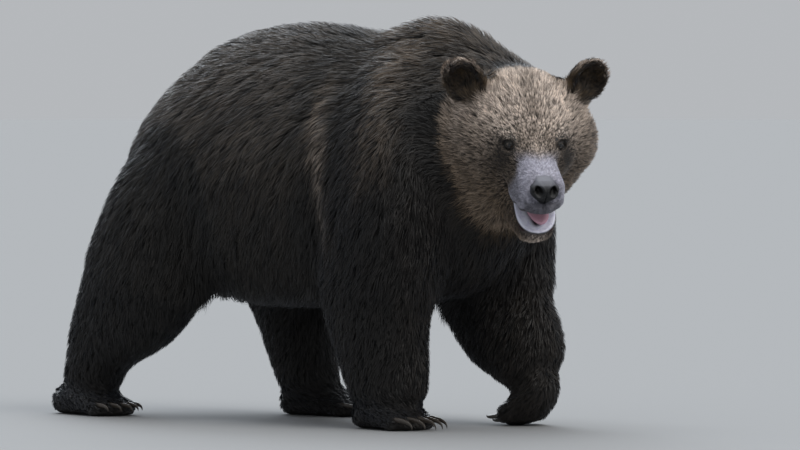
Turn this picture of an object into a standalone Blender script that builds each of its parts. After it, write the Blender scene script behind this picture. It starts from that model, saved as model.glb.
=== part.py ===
"""A walking brown bear as a life-size museum model, in metres, +Z up.

The bear heads along -Y, its left side is +X, and it stands on the floor at Z = 0. Lofted and
rounded masses are melted into one form, out to the tips of the coat. Thin cuts then part the
form into the named parts of the animal.
"""

import math

import bmesh
import bpy
from mathutils import Matrix, Vector

# Where the hip is, forward of the middle of the floor that the bear covers. Places on the body
# are given as (forward of the hip, left, up).
HIP = -0.517
MIDLINE = 0.006

# The head: the middle of the brain case, and how the head is turned and bowed.
HEAD_CENTRE = (1.228, -0.062, 0.8675)
HEAD_TURN = math.radians(-38.5)
HEAD_BOW = math.radians(26.0)

# Sizes in the head's own level frame.
EYE_PLACE = (0.143, 0.070, -0.001)
EYE_RADIUS = 0.0135
EAR_PLACE = (-0.035, 0.176, 0.110)
EAR_HALF_WIDTH = 0.065
EAR_HALF_HEIGHT = 0.077
EAR_HALF_DEPTH = 0.040
NOSE_PLACE = (0.318, 0.0, -0.053)

# Feet: heel, turn outwards and bow in degrees, length, width, height, and length of the claws.
FEET = {
    "fore_right": ((0.755, -0.205, 0.0), -6, 0, 0.235, 0.175, 0.105, 0.060),
    "fore_left": ((1.075, 0.175, 0.175), -4, 122, 0.185, 0.165, 0.115, 0.045),
    "hind_right": ((-0.43, -0.19, 0.0), -8, 0, 0.295, 0.165, 0.105, 0.040),
    "hind_left": ((0.125, 0.18, 0.0), 8, 0, 0.295, 0.165, 0.105, 0.040),
}
CLAW_RADIUS = 0.0085
CLAW_SIDES = 5
SOLE_SINK = 0.010

BODY_VOXEL = 0.012
FINE_VOXEL = 0.0065
KEPT_FACES = 4050

SIDES = 28
CAP_RINGS = 4
SUBSTEPS = 5
CUT_GAP = 0.0004

# Sections of the trunk: forward, top, underside, half width, narrowing towards the back line.
TRUNK = [
    (-0.225, 0.805, 0.63, 0.10, 0.10),
    (-0.18, 0.92, 0.54, 0.185, 0.16),
    (-0.085, 1.02, 0.44, 0.255, 0.20),
    (0.05, 1.096, 0.36, 0.295, 0.24),
    (0.21, 1.134, 0.335, 0.313, 0.24),
    (0.37, 1.159, 0.335, 0.325, 0.26),
    (0.55, 1.145, 0.335, 0.325, 0.28),
    (0.72, 1.12, 0.35, 0.31, 0.34),
    (0.88, 1.18, 0.37, 0.28, 0.42),
    (1.02, 1.155, 0.43, 0.24, 0.42),
    (1.12, 1.065, 0.52, 0.19, 0.40),
]

NECK = [
    (1.03, 0.00, 0.84, 0.22, 0.26, 0.30, 0.30),
    (1.13, -0.02, 0.83, 0.205, 0.235, 0.27, 0.25),
    (1.21, -0.05, 0.84, 0.185, 0.20, 0.23, 0.15),
]

# Legs: forward, left, up, half width, and the half depths ahead and behind.
FORE_RIGHT = [
    (0.82, -0.11, 1.00, 0.09, 0.15, 0.17),
    (0.84, -0.17, 0.82, 0.14, 0.19, 0.21),
    (0.84, -0.20, 0.64, 0.15, 0.205, 0.215),
    (0.83, -0.21, 0.48, 0.14, 0.205, 0.205),
    (0.81, -0.21, 0.36, 0.125, 0.195, 0.185),
    (0.82, -0.205, 0.24, 0.108, 0.165, 0.155),
    (0.845, -0.20, 0.13, 0.098, 0.145, 0.135),
    (0.855, -0.20, 0.075, 0.088, 0.115, 0.11),
]
FORE_LEFT = [
    (0.84, 0.11, 1.00, 0.09, 0.15, 0.17),
    (0.88, 0.17, 0.82, 0.14, 0.19, 0.21),
    (0.91, 0.195, 0.66, 0.145, 0.19, 0.20),
    (0.915, 0.20, 0.50, 0.135, 0.196, 0.19),
    (0.905, 0.20, 0.38, 0.12, 0.212, 0.18),
    (0.94, 0.195, 0.285, 0.11, 0.205, 0.155),
    (1.02, 0.185, 0.215, 0.10, 0.168, 0.125),
    (1.065, 0.18, 0.165, 0.09, 0.134, 0.11),
]
HIND_RIGHT = [
    (0.07, -0.10, 0.82, 0.12, 0.20, 0.15),
    (0.045, -0.15, 0.71, 0.14, 0.22, 0.185),
    (-0.02, -0.185, 0.58, 0.15, 0.22, 0.205),
    (-0.075, -0.20, 0.43, 0.14, 0.215, 0.215),
    (-0.145, -0.20, 0.32, 0.125, 0.18, 0.195),
    (-0.23, -0.195, 0.22, 0.105, 0.115, 0.15),
    (-0.29, -0.19, 0.13, 0.088, 0.085, 0.11),
    (-0.31, -0.19, 0.075, 0.08, 0.09, 0.09),
]
HIND_LEFT = [
    (0.08, 0.10, 0.82, 0.12, 0.20, 0.16),
    (0.09, 0.15, 0.71, 0.145, 0.22, 0.20),
    (0.12, 0.185, 0.56, 0.15, 0.22, 0.21),
    (0.15, 0.195, 0.43, 0.135, 0.20, 0.20),
    (0.18, 0.19, 0.31, 0.115, 0.15, 0.16),
    (0.20, 0.18, 0.20, 0.10, 0.115, 0.125),
    (0.22, 0.18, 0.11, 0.088, 0.10, 0.105),
    (0.22, 0.18, 0.07, 0.08, 0.09, 0.085),
]

TAIL = [
    (-0.16, 0.0, 0.83, 0.050, 0.050, 0.060),
    (-0.235, 0.0, 0.755, 0.042, 0.040, 0.040),
    (-0.265, 0.0, 0.690, 0.030, 0.030, 0.030),
]

# The head from nape to nose: forward, up, half width, top, bottom, narrowing towards the top.
HEAD = [
    (-0.15, -0.050, 0.175, 0.165, 0.17, 0.25),
    (-0.08, -0.050, 0.200, 0.190, 0.18, 0.25),
    (0.00, -0.050, 0.200, 0.185, 0.165, 0.28),
    (0.06, -0.050, 0.173, 0.158, 0.14, 0.26),
    (0.105, -0.052, 0.138, 0.121, 0.110, 0.20),
    (0.145, -0.057, 0.108, 0.087, 0.080, 0.12),
    (0.185, -0.063, 0.080, 0.066, 0.060, 0.10),
]

# The muzzle, as the head but squarer in section.
MUZZLE = [
    (0.11, -0.060, 0.088, 0.075, 0.080, 0.15),
    (0.165, -0.065, 0.080, 0.067, 0.070, 0.15),
    (0.22, -0.067, 0.075, 0.058, 0.060, 0.12),
    (0.27, -0.069, 0.071, 0.053, 0.056, 0.10),
    (0.295, -0.070, 0.065, 0.049, 0.053, 0.08),
    (0.312, -0.078, 0.056, 0.043, 0.046, 0.05),
]
MUZZLE_SQUARENESS = 0.72

JAW = [
    (-0.02, -0.170, 0.115, 0.060, 0.100),
    (0.06, -0.172, 0.098, 0.050, 0.106),
    (0.13, -0.176, 0.082, 0.044, 0.099),
    (0.19, -0.190, 0.074, 0.036, 0.083),
    (0.255, -0.212, 0.056, 0.020, 0.050),
]

TONGUE = [
    (0.08, -0.158, 0.036, 0.018, 0.030),
    (0.15, -0.168, 0.036, 0.012, 0.030),
    (0.240, -0.191, 0.030, 0.010, 0.020),
]

# The blocks that part the legs from the trunk: side, and the outline as (forward, up).
LEG_BLOCKS = {
    "fore_right": (-1, [
        (0.62, -0.05), (0.57, 0.38), (0.58, 0.65), (0.68, 0.90), (0.82, 0.97),
        (0.98, 0.90), (1.08, 0.66), (1.10, 0.42), (1.08, -0.05),
    ]),
    "fore_left": (1, [
        (0.66, -0.05), (0.60, 0.38), (0.62, 0.65), (0.70, 0.90), (0.84, 0.97),
        (1.00, 0.90), (1.10, 0.66), (1.20, 0.40), (1.22, -0.05),
    ]),
    "hind_right": (-1, [
        (-0.52, -0.05), (-0.50, 0.20), (-0.32, 0.62), (-0.15, 0.82), (0.05, 0.90),
        (0.22, 0.80), (0.30, 0.60), (0.27, 0.40), (-0.05, -0.05),
    ]),
    "hind_left": (1, [
        (0.00, -0.05), (-0.08, 0.30), (-0.12, 0.55), (-0.08, 0.80), (0.08, 0.90),
        (0.26, 0.80), (0.37, 0.60), (0.42, 0.30), (0.52, -0.05),
    ]),
}

# Where each leg is parted: (forward, up) of the joint, and the way the leg runs down there.
LEG_JOINTS = {
    "fore_right": (((0.83, 0.40), (-0.10, -1.0)), ((0.835, 0.115), (0.05, -1.0))),
    "fore_left": (((0.90, 0.36), (0.35, -1.0)), ((1.065, 0.175), (0.40, -1.0))),
    "hind_right": (((-0.08, 0.43), (-0.35, -1.0)), ((-0.30, 0.118), (-0.20, -1.0))),
    "hind_left": (((0.15, 0.43), (0.15, -1.0)), ((0.22, 0.118), (0.10, -1.0))),
}


def clear_scene():
    for obj in list(bpy.data.objects):
        bpy.data.objects.remove(obj)


def spot(forward, left, up):
    """A place given from the hip, in world space."""
    return Vector((MIDLINE + left, -(HIP + forward), up))


def own(forward, left, up):
    """A place in the frame of a part that is built level and then turned."""
    return Vector((left, -forward, up))


def head_frame():
    turned = Matrix.Rotation(HEAD_TURN, 4, "Z") @ Matrix.Rotation(HEAD_BOW, 4, "X")
    return Matrix.Translation(spot(*HEAD_CENTRE)) @ turned


def blended(a, b, c, d, t):
    """Catmull-Rom between b and c, for numbers and vectors."""
    bend = (2 * a - 5 * b + 4 * c - d) * t * t + (3 * b - a - 3 * c + d) * t ** 3
    return 0.5 * (2 * b + (c - a) * t + bend)


def smooth_run(values, substeps):
    """The values with smooth steps between them."""
    padded = [2 * values[0] - values[1], *values, 2 * values[-1] - values[-2]]
    run = []
    for i in range(len(values) - 1):
        run += [blended(*padded[i:i + 4], k / substeps) for k in range(substeps)]
    return run + [values[-1]]


def ring_around(station, along, sides, square):
    """Points around a station. The front of a form that runs forward is its top."""
    centre, half, ahead, behind, narrow = station
    side = (Vector((1, 0, 0)) - along * along.x).normalized()
    front = along.cross(side)
    points = []
    for k in range(sides):
        angle = 2 * math.pi * k / sides
        across = math.copysign(abs(math.cos(angle)) ** square, math.cos(angle))
        out = math.copysign(abs(math.sin(angle)) ** square, math.sin(angle))
        width = half * (1 - narrow * max(out, 0.0) ** 1.5)
        depth = ahead if out > 0 else behind
        points.append(centre + side * across * width + front * out * depth)
    return points


def loft(bm, stations, sides=SIDES, substeps=SUBSTEPS, square=1.0):
    """A closed round-ended form through (centre, half width, ahead, behind, narrowing)."""
    centres = smooth_run([Vector(s[0]) for s in stations], substeps)
    sizes = [smooth_run([s[k] for s in stations], substeps) for k in range(1, 5)]
    last = len(centres) - 1
    runs = []
    rings = []
    for i, centre in enumerate(centres):
        along = (centres[min(i + 1, last)] - centres[max(i - 1, 0)]).normalized()
        station = (centre, *(size[i] for size in sizes))
        runs.append(along)
        rings.append(ring_around(station, along, sides, square))
    caps = {}
    tips = {}
    for end, sign in ((0, -1), (last, 1)):
        centre = centres[end]
        reach = sign * 0.6 * min(sizes[0][end], (sizes[1][end] + sizes[2][end]) / 2)
        caps[sign] = []
        for k in range(1, CAP_RINGS):
            angle = math.pi / 2 * k / CAP_RINGS
            moved = centre + runs[end] * reach * math.sin(angle)
            caps[sign].append([moved + (p - centre) * math.cos(angle) for p in rings[end]])
        tips[sign] = centre + runs[end] * reach
    whole = caps[-1][::-1] + rings + caps[1]
    rows = [[bm.verts.new(p) for p in ring] for ring in whole]
    for low, high in zip(rows, rows[1:]):
        for k in range(sides):
            bm.faces.new((low[k], low[(k + 1) % sides], high[(k + 1) % sides], high[k]))
    for sign, row in ((-1, rows[0]), (1, rows[-1])):
        tip = bm.verts.new(tips[sign])
        for k in range(sides):
            pair = (row[k], row[(k + 1) % sides])
            bm.faces.new((*pair[::sign], tip))


def ball(bm, centre, radii, turn=None):
    """An ellipsoid with half sizes (across, forward, up)."""
    matrix = Matrix.Translation(centre) @ (turn or Matrix()) @ Matrix.Diagonal((*radii, 1))
    bmesh.ops.create_uvsphere(bm, u_segments=24, v_segments=14, radius=1, matrix=matrix)


def as_object(bm, name):
    bmesh.ops.recalc_face_normals(bm, faces=bm.faces)
    mesh = bpy.data.meshes.new(name)
    bm.to_mesh(mesh)
    bm.free()
    obj = bpy.data.objects.new(name, mesh)
    bpy.context.scene.collection.objects.link(obj)
    return obj


def applied(obj):
    """The object with its modifiers made real."""
    graph = bpy.context.evaluated_depsgraph_get()
    mesh = bpy.data.meshes.new_from_object(obj.evaluated_get(graph))
    obj.modifiers.clear()
    obj.data = mesh
    return obj


def melted(obj, voxel, passes):
    """Overlapping masses made one skin, with the creases between them eased."""
    remesh = obj.modifiers.new("melt", "REMESH")
    remesh.mode = "VOXEL"
    remesh.voxel_size = voxel
    ease = obj.modifiers.new("ease", "SMOOTH")
    ease.factor = 0.5
    ease.iterations = passes
    return applied(obj)


def thinned(obj, faces):
    """The object with about this many triangles."""
    count = sum(len(p.vertices) - 2 for p in obj.data.polygons)
    fewer = obj.modifiers.new("fewer", "DECIMATE")
    fewer.ratio = faces / count
    return applied(obj)


def trunk_masses(bm):
    stations = []
    for forward, top, under, half, narrow in TRUNK:
        widest = under + 0.46 * (top - under)
        stations.append((spot(forward, 0, widest), half, top - widest, widest - under, narrow))
    loft(bm, stations, sides=40)
    loft(bm, [(spot(*s[:3]), *s[3:]) for s in NECK])
    for joints in (FORE_RIGHT, FORE_LEFT, HIND_RIGHT, HIND_LEFT):
        loft(bm, [(spot(*s[:3]), *s[3:], 0.0) for s in joints])
    loft(bm, [(spot(*s[:3]), *s[3:], 0.0) for s in TAIL])


def paw(bm, frame, length, width, height):
    """A flat foot that runs forward from its heel, with five toes."""
    half = width / 2
    sections = [(0.10, 0.78, 0.95), (0.32, 0.84, 1.10), (0.58, 0.96, 0.95), (0.80, 1.0, 0.66)]
    stations = []
    for run, wide, high in sections:
        rise = height * high / 2
        stations.append((frame @ own(length * run, 0, rise - SOLE_SINK), half * wide, rise, rise, 0))
    loft(bm, stations, sides=20, substeps=3)
    for reach, across in toes(length, width):
        centre = frame @ own(reach, across, height * 0.30 - SOLE_SINK)
        radii = (width * 0.118, width * 0.20, height * 0.32)
        ball(bm, centre, radii, frame.to_3x3().to_4x4())


def toes(length, width):
    """Where each toe is, ahead of the heel and across the foot."""
    return [(length * (0.90 - 0.035 * abs(k) ** 1.6), k * width * 0.195) for k in range(-2, 3)]


def foot_frame(heel, turn, bow):
    turned = Matrix.Rotation(math.radians(turn), 4, "Z") @ Matrix.Rotation(math.radians(bow), 4, "X")
    return Matrix.Translation(spot(*heel)) @ turned


def head_masses(bm):
    """The head in its own level frame, from the middle of the brain case."""
    loft(bm, [(own(s[0], 0, s[1]), *s[2:]) for s in HEAD], sides=36)
    loft(bm, [(own(s[0], 0, s[1]), *s[2:]) for s in MUZZLE], square=MUZZLE_SQUARENESS)
    for side in (-1, 1):
        ball(bm, own(-0.015, side * 0.128, -0.065), (0.095, 0.125, 0.120))
        ball(bm, own(-0.02, side * 0.088, -0.135), (0.105, 0.125, 0.118))
        ball(bm, own(0.114, side * 0.062, 0.020), (0.044, 0.034, 0.022))
        ball(bm, own(-0.045, side * 0.130, 0.072), (0.058, 0.046, 0.046))
    ball(bm, own(*NOSE_PLACE), (0.042, 0.027, 0.036))
    loft(bm, [(own(s[0], 0, s[1]), *s[2:], 0.0) for s in JAW])
    loft(bm, [(own(s[0], 0, s[1]), *s[2:], 0.0) for s in TONGUE])


def ear_masses(bm):
    """Round ears, each hollowed in front."""
    for side in (-1, 1):
        fresh = bmesh.new()
        bmesh.ops.create_uvsphere(fresh, u_segments=32, v_segments=24, radius=1)
        for v in fresh.verts:
            spread = v.co.x ** 2 + (v.co.z - 0.10) ** 2
            if v.co.y < 0:
                v.co.y *= 1 - 1.8 * max(0.0, 1 - spread / 0.55)
        shape = Matrix.Diagonal((EAR_HALF_WIDTH, EAR_HALF_DEPTH, EAR_HALF_HEIGHT, 1))
        turn = Matrix.Rotation(math.radians(14 * side), 4, "Z")
        lean = Matrix.Rotation(math.radians(26 * side), 4, "Y")
        place = Matrix.Translation(own(EAR_PLACE[0], side * EAR_PLACE[1], EAR_PLACE[2]))
        bmesh.ops.transform(fresh, matrix=place @ turn @ lean @ shape, verts=fresh.verts)
        temporary = bpy.data.meshes.new("ear")
        fresh.to_mesh(temporary)
        fresh.free()
        bm.from_mesh(temporary)


def whole_bear():
    """The body and the head melted broadly, then melted again with the finer ears and feet."""
    bm = bmesh.new()
    trunk_masses(bm)
    body = melted(as_object(bm, "body"), BODY_VOXEL, 24)
    bm = bmesh.new()
    head_masses(bm)
    bmesh.ops.transform(bm, matrix=head_frame(), verts=bm.verts)
    head = melted(as_object(bm, "head"), FINE_VOXEL, 9)
    bm = bmesh.new()
    ear_masses(bm)
    bmesh.ops.transform(bm, matrix=head_frame(), verts=bm.verts)
    for heel, turn, bow, length, width, height, _ in FEET.values():
        paw(bm, foot_frame(heel, turn, bow), length, width, height)
    for obj in (body, head):
        bm.from_mesh(obj.data)
        bpy.data.objects.remove(obj)
    return melted(as_object(bm, "whole"), FINE_VOXEL, 5)


def hull(points, grow=0.0):
    """A closed convex block around the points, with each face moved outwards by grow or more."""
    middle = sum(points, Vector()) / len(points)
    bm = bmesh.new()
    for p in points:
        bm.verts.new(p)
    bmesh.ops.convex_hull(bm, input=bm.verts)
    bmesh.ops.recalc_face_normals(bm, faces=bm.faces)
    nearest = min(abs((f.calc_center_median() - middle).dot(f.normal)) for f in bm.faces)
    for v in bm.verts:
        v.co = middle + (v.co - middle) * (1 + grow / nearest)
    return as_object(bm, "cutter")


def largest(bm):
    """Leaves only the largest of the mesh's separate bodies."""
    left = set(bm.verts)
    bodies = []
    while left:
        body = [left.pop()]
        for v in body:
            near = {e.other_vert(v) for e in v.link_edges} & left
            left -= near
            body += sorted(near, key=lambda n: n.index)
        bodies.append(body)
    keep = max(bodies, key=len)
    bmesh.ops.delete(bm, geom=[v for body in bodies if body is not keep for v in body], context="VERTS")


def cut(obj, cutter, operation):
    """A new object, leaving both as they were."""
    made = bpy.data.objects.new(obj.name, obj.data.copy())
    bpy.context.scene.collection.objects.link(made)
    step = made.modifiers.new("cut", "BOOLEAN")
    step.operation = operation
    step.object = cutter
    step.solver = "EXACT"
    made = applied(made)
    bm = bmesh.new()
    bm.from_mesh(made.data)
    largest(bm)
    bm.to_mesh(made.data)
    bm.free()
    return made


def taken(whole, points, name):
    """What lies inside the block of points, as a part of its own, and what is left of the whole."""
    tight = hull(points)
    loose = hull(points, CUT_GAP)
    piece = cut(whole, tight, "INTERSECT")
    rest = cut(whole, loose, "DIFFERENCE")
    piece.name = name
    label = whole.name
    for obj in (tight, loose, whole):
        bpy.data.objects.remove(obj)
    rest.name = label
    return piece, rest


def halved(obj, place, along, names):
    """The object parted across a plane, with a gap: first the side that along points away from."""
    halves = []
    for name, sign in zip(names, (-1, 1)):
        bm = bmesh.new()
        bm.from_mesh(obj.data)
        at = place + along.normalized() * CUT_GAP * sign
        parts = bm.verts[:] + bm.edges[:] + bm.faces[:]
        away = {"clear_outer": sign < 0, "clear_inner": sign > 0}
        bmesh.ops.bisect_plane(bm, geom=parts, plane_co=at, plane_no=along, **away)
        bmesh.ops.holes_fill(bm, edges=[e for e in bm.edges if e.is_boundary], sides=0)
        largest(bm)
        halves.append(as_object(bm, name))
    bpy.data.objects.remove(obj)
    return halves


def leg_block(side, outline):
    """A block around a leg. Its inner face leans, from near the midline below to the flank above."""
    points = []
    for forward, up in outline:
        inner = 0.025 + max(0.0, up - 0.36) * 0.30
        points += [spot(forward, side * inner, up), spot(forward, side * 0.60, up)]
    return points


def head_block(outline, half):
    """A block across the head, from an outline of (forward, up) in the head's frame."""
    return [head_frame() @ own(f, side * half, u) for f, u in outline for side in (-1, 1)]


def sphere(centre, radius, name):
    bm = bmesh.new()
    matrix = Matrix.Translation(centre)
    bmesh.ops.create_uvsphere(bm, u_segments=10, v_segments=7, radius=radius, matrix=matrix)
    return as_object(bm, name)


def claw(name, base, run, sag, length):
    """A curved tapering claw that starts inside the toe."""
    bm = bmesh.new()
    run = run.normalized()
    side = run.cross(sag).normalized()
    up = run.cross(side)
    angles = [2 * math.pi * k / CLAW_SIDES for k in range(CLAW_SIDES)]
    rows = []
    for t in (-0.25, 0.15, 0.45, 0.75):
        centre = base + run * length * t + sag * length * max(t, 0.0) ** 2
        radius = CLAW_RADIUS * (1 - 0.75 * max(t, 0.0))
        ring = [centre + side * radius * 0.7 * math.cos(a) + up * radius * math.sin(a) for a in angles]
        rows.append([bm.verts.new(p) for p in ring])
    tip = bm.verts.new(base + run * length + sag * length)
    for k in range(CLAW_SIDES):
        after = (k + 1) % CLAW_SIDES
        for low, high in zip(rows, rows[1:]):
            bm.faces.new((low[k], low[after], high[after], high[k]))
        bm.faces.new((rows[-1][k], rows[-1][after], tip))
    bm.faces.new(rows[0][::-1])
    return as_object(bm, name)


def foot_claws(name, foot):
    """The five claws of a foot, each trimmed to meet its toe."""
    heel, turn, bow, length, width, height, reach = FEET[name]
    frame = foot_frame(heel, turn, bow)
    turned = frame.to_3x3()
    made = []
    for k, (ahead, across) in enumerate(toes(length, width)):
        base = frame @ own(ahead + width * 0.14, across, height * 0.34)
        run = turned @ own(1, 0, 0.10)
        sag = turned @ own(0, 0, -1) * 0.62
        if bow:
            run = own(-1, 0, 0.12)
            sag = own(0, 0, -0.16)
            base = frame @ own(ahead + width * 0.10, across, height * 0.10)
            base.z = max(base.z, 0.014)
        whole = claw(f"claw_{name}_{k + 1}", base, run, sag, reach)
        trimmed = cut(whole, foot, "DIFFERENCE")
        bpy.data.objects.remove(whole)
        trimmed.name = f"claw_{name}_{k + 1}"
        for v in trimmed.data.vertices:
            v.co += run.normalized() * CUT_GAP * 2.5
        made.append(trimmed)
    return made


def part_legs(whole):
    """Each leg in three parts with its claws, and the bear without them."""
    parts = []
    for name, (side, outline) in LEG_BLOCKS.items():
        leg, whole = taken(whole, leg_block(side, outline), name)
        (knee, knee_run), (ankle, ankle_run) = LEG_JOINTS[name]
        names = (name + "_upper", name + "_rest")
        upper, rest = halved(leg, spot(knee[0], 0, knee[1]), own(knee_run[0], 0, knee_run[1]), names)
        names = (name + "_lower", name + "_foot")
        lower, foot = halved(rest, spot(ankle[0], 0, ankle[1]), own(ankle_run[0], 0, ankle_run[1]), names)
        parts += [upper, lower, foot, *foot_claws(name, foot)]
    return parts, whole


def part_head(whole):
    """The parts of the head, and the bear without them."""
    parts = []
    nape = [(-0.125, 0.30), (-0.06, -0.31), (0.42, -0.31), (0.42, 0.30)]
    head, whole = taken(whole, head_block(nape, 0.34), "head")
    for side, word in ((-1, "right"), (1, "left")):
        place = own(EAR_PLACE[0], side * EAR_PLACE[1], EAR_PLACE[2])
        lean = Matrix.Rotation(math.radians(26 * side), 4, "Y")
        corners = [(a, f, u) for a in (-0.085, 0.085) for f in (-0.065, 0.065) for u in (-0.040, 0.12)]
        block = [head_frame() @ (place + lean @ Vector(c)) for c in corners]
        ear, head = taken(head, block, "ear_" + word)
        parts.append(ear)
    jaw_line = [(0.11, -0.143), (0.36, -0.152), (0.36, -0.37), (0.00, -0.37), (-0.03, -0.20)]
    jaw, head = taken(head, head_block(jaw_line, 0.092), "jaw")
    tongue_line = [(0.11, -0.166), (0.30, -0.212), (0.30, -0.12), (0.11, -0.12)]
    tongue, jaw = taken(jaw, head_block(tongue_line, 0.030), "tongue")
    nose_line = [(0.302, 0.02), (0.312, -0.092), (0.40, -0.092), (0.40, 0.02)]
    nose, head = taken(head, head_block(nose_line, 0.043), "nose")
    for side, word in ((-1, "right"), (1, "left")):
        centre = head_frame() @ own(EYE_PLACE[0], side * EYE_PLACE[1], EYE_PLACE[2])
        socket = sphere(centre, EYE_RADIUS + 2 * CUT_GAP, "socket")
        hollowed = cut(head, socket, "DIFFERENCE")
        for obj in (head, socket):
            bpy.data.objects.remove(obj)
        head = hollowed
        parts.append(sphere(centre, EYE_RADIUS, "eye_" + word))
    head.name = "head"
    return parts + [head, jaw, tongue, nose], whole


def material(name, colour, rough):
    made = bpy.data.materials.new(name)
    made.use_nodes = True
    shader = made.node_tree.nodes["Principled BSDF"]
    shader.inputs["Base Color"].default_value = (*colour, 1)
    shader.inputs["Roughness"].default_value = rough
    return made


def paint(parts):
    coat = material("brown coat", (0.045, 0.030, 0.020), 0.8)
    face = material("grizzled coat", (0.16, 0.11, 0.07), 0.8)
    horn = material("claw horn", (0.03, 0.025, 0.02), 0.4)
    wet = material("nose leather", (0.01, 0.01, 0.01), 0.35)
    flesh = material("tongue flesh", (0.35, 0.14, 0.15), 0.4)
    glass = material("dark eye", (0.02, 0.012, 0.008), 0.1)
    kinds = (("claw", horn), ("nose", wet), ("tongue", flesh), ("eye", glass), ("head", face), ("jaw", face),
             ("ear", face))
    for obj in parts:
        obj.data.materials.clear()
        obj.data.materials.append(next((m for word, m in kinds if obj.name.startswith(word)), coat))


def build():
    clear_scene()
    whole = thinned(whole_bear(), KEPT_FACES)
    below, whole = halved(whole, Vector((0, 0, CUT_GAP * -1)), Vector((0, 0, 1)), ("below", "whole"))
    bpy.data.objects.remove(below)
    legs, whole = part_legs(whole)
    heads, whole = part_head(whole)
    neck_block = [spot(f, side * 0.45, u) for side in (-1, 1)
                  for f, u in ((1.00, 1.30), (1.10, 0.60), (1.60, 0.55), (1.60, 1.30))]
    neck, whole = taken(whole, neck_block, "neck")
    tail_block = [spot(f, side * 0.05, u) for side in (-1, 1)
                  for f, u in ((-0.208, 0.86), (-0.208, 0.62), (-0.40, 0.62), (-0.40, 0.86))]
    tail, whole = taken(whole, tail_block, "tail")
    whole.name = "trunk"
    paint([*legs, *heads, neck, tail, whole])


build()
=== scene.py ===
"""The walking brown bear dressed for show: one skin, eyes, nose, mouth, claws and coat.

Lengths are in metres, +Z up. The bear heads along -Y and its left side is +X.
"""

import math

import bmesh
import bpy
import numpy as np
from mathutils import Matrix, Vector
from mathutils.bvhtree import BVHTree
from mathutils.kdtree import KDTree


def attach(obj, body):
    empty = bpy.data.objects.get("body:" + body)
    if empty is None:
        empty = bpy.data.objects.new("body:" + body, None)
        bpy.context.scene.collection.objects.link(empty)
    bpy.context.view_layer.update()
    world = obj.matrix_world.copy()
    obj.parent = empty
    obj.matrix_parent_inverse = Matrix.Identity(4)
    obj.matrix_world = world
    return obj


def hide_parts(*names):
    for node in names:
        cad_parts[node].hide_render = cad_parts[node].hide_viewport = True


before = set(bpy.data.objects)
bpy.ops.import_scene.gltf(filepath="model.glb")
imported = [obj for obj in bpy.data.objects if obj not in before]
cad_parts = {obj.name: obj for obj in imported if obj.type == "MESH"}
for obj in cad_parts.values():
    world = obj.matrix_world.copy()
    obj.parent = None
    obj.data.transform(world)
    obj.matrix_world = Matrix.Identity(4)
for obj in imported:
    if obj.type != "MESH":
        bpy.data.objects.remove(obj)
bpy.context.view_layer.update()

# The head: the middle of the brain case, its turn to the bear's right and its bow.
HEAD_PLACE = (-0.056, -0.711, 0.8675)
HEAD_TURN = math.radians(-38.5)
HEAD_BOW = math.radians(26.0)

# Places in the head's own frame are (forward, left, up).
EYE_PLACE = (0.143, 0.070, -0.001)
EYE_RADIUS = 0.0135
EYE_HALF_WIDTH = 0.0110
EYE_HALF_HEIGHT = 0.0054
EYE_SINK = 0.0038
LIDS_REACH = 0.029
EAR_PLACE = (-0.035, 0.176, 0.110)
EAR_HALF_WIDTH = 0.065
EAR_HALF_HEIGHT = 0.077

SKIN_VOXEL = 0.010
LEGS = ("fore_right", "fore_left", "hind_right", "hind_left")
FLESH = ["trunk", "neck", "head", "jaw", "tail", "ear_left", "ear_right"]
FLESH += [f"{leg}_{part}" for leg in LEGS for part in ("upper", "lower", "foot")]

# The coat of each part: depth, spacing of tufts, width of a hair blade, size of the clumps,
# how strongly hairs clump, and the way the hair lies (left, back, up) where no rule below lays it.
COAT = {
    "trunk": (0.024, 0.0080, 0.0021, 0.022, 0.34, (0.0, 0.45, -0.90)),
    "neck": (0.027, 0.0076, 0.0019, 0.020, 0.36, (0.0, 0.50, -0.88)),
    "tail": (0.022, 0.0080, 0.0022, 0.020, 0.35, (0.0, 0.25, -1.00)),
    "upper": (0.022, 0.0080, 0.0020, 0.020, 0.32, (0.0, 0.30, -0.95)),
    "lower": (0.014, 0.0078, 0.0019, 0.016, 0.30, (0.0, 0.22, -1.00)),
    "foot": (0.009, 0.0062, 0.0018, 0.012, 0.26),
    "ear": (0.009, 0.0040, 0.0011, 0.006, 0.15),
    "head": (0.0175, 0.0043, 0.0012, 0.0056, 0.20),
    "jaw": (0.012, 0.0046, 0.0012, 0.007, 0.34),
}
BLADES = 4
MOST_TUFTS = 12200

# Rays that look for a surface start this far outside it and reach as far inside.
PROBE = 0.06

# The least heights above the ground.
SKIN_CLEARANCE = 0.0008
HAIR_CLEARANCE = 0.0007
CLAW_CLEARANCE = 0.0006

rng = np.random.default_rng(11)


# ---- small helpers


def eased(x, low, high):
    """0 below low and 1 above high, easing between; low may be the greater."""
    t = np.clip((x - low) / (high - low), 0.0, 1.0)
    return t * t * (3 - 2 * t)


def between(x, start, full, fade, end):
    """1 from full to fade, easing to 0 at start and at end."""
    return eased(x, start, full) * eased(x, end, fade)


def bell(*terms):
    """A smooth hill of height 1; each three terms are a coordinate, the hill's middle on it and its width."""
    triples = zip(terms[::3], terms[1::3], terms[2::3])
    return np.exp(-sum(((x - middle) / width) ** 2 for x, middle, width in triples))


def unit(rows):
    return rows / np.maximum(np.linalg.norm(rows, axis=-1, keepdims=True), 1e-9)


def head_matrix():
    turned = Matrix.Rotation(HEAD_TURN, 4, "Z") @ Matrix.Rotation(HEAD_BOW, 4, "X")
    return Matrix.Translation(HEAD_PLACE) @ turned


HEAD = np.array(head_matrix())


def head_point(forward, left, up):
    """World place of a point of the head's frame."""
    return Vector(HEAD[:3, :3] @ np.array((left, -forward, up)) + HEAD[:3, 3])


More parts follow.
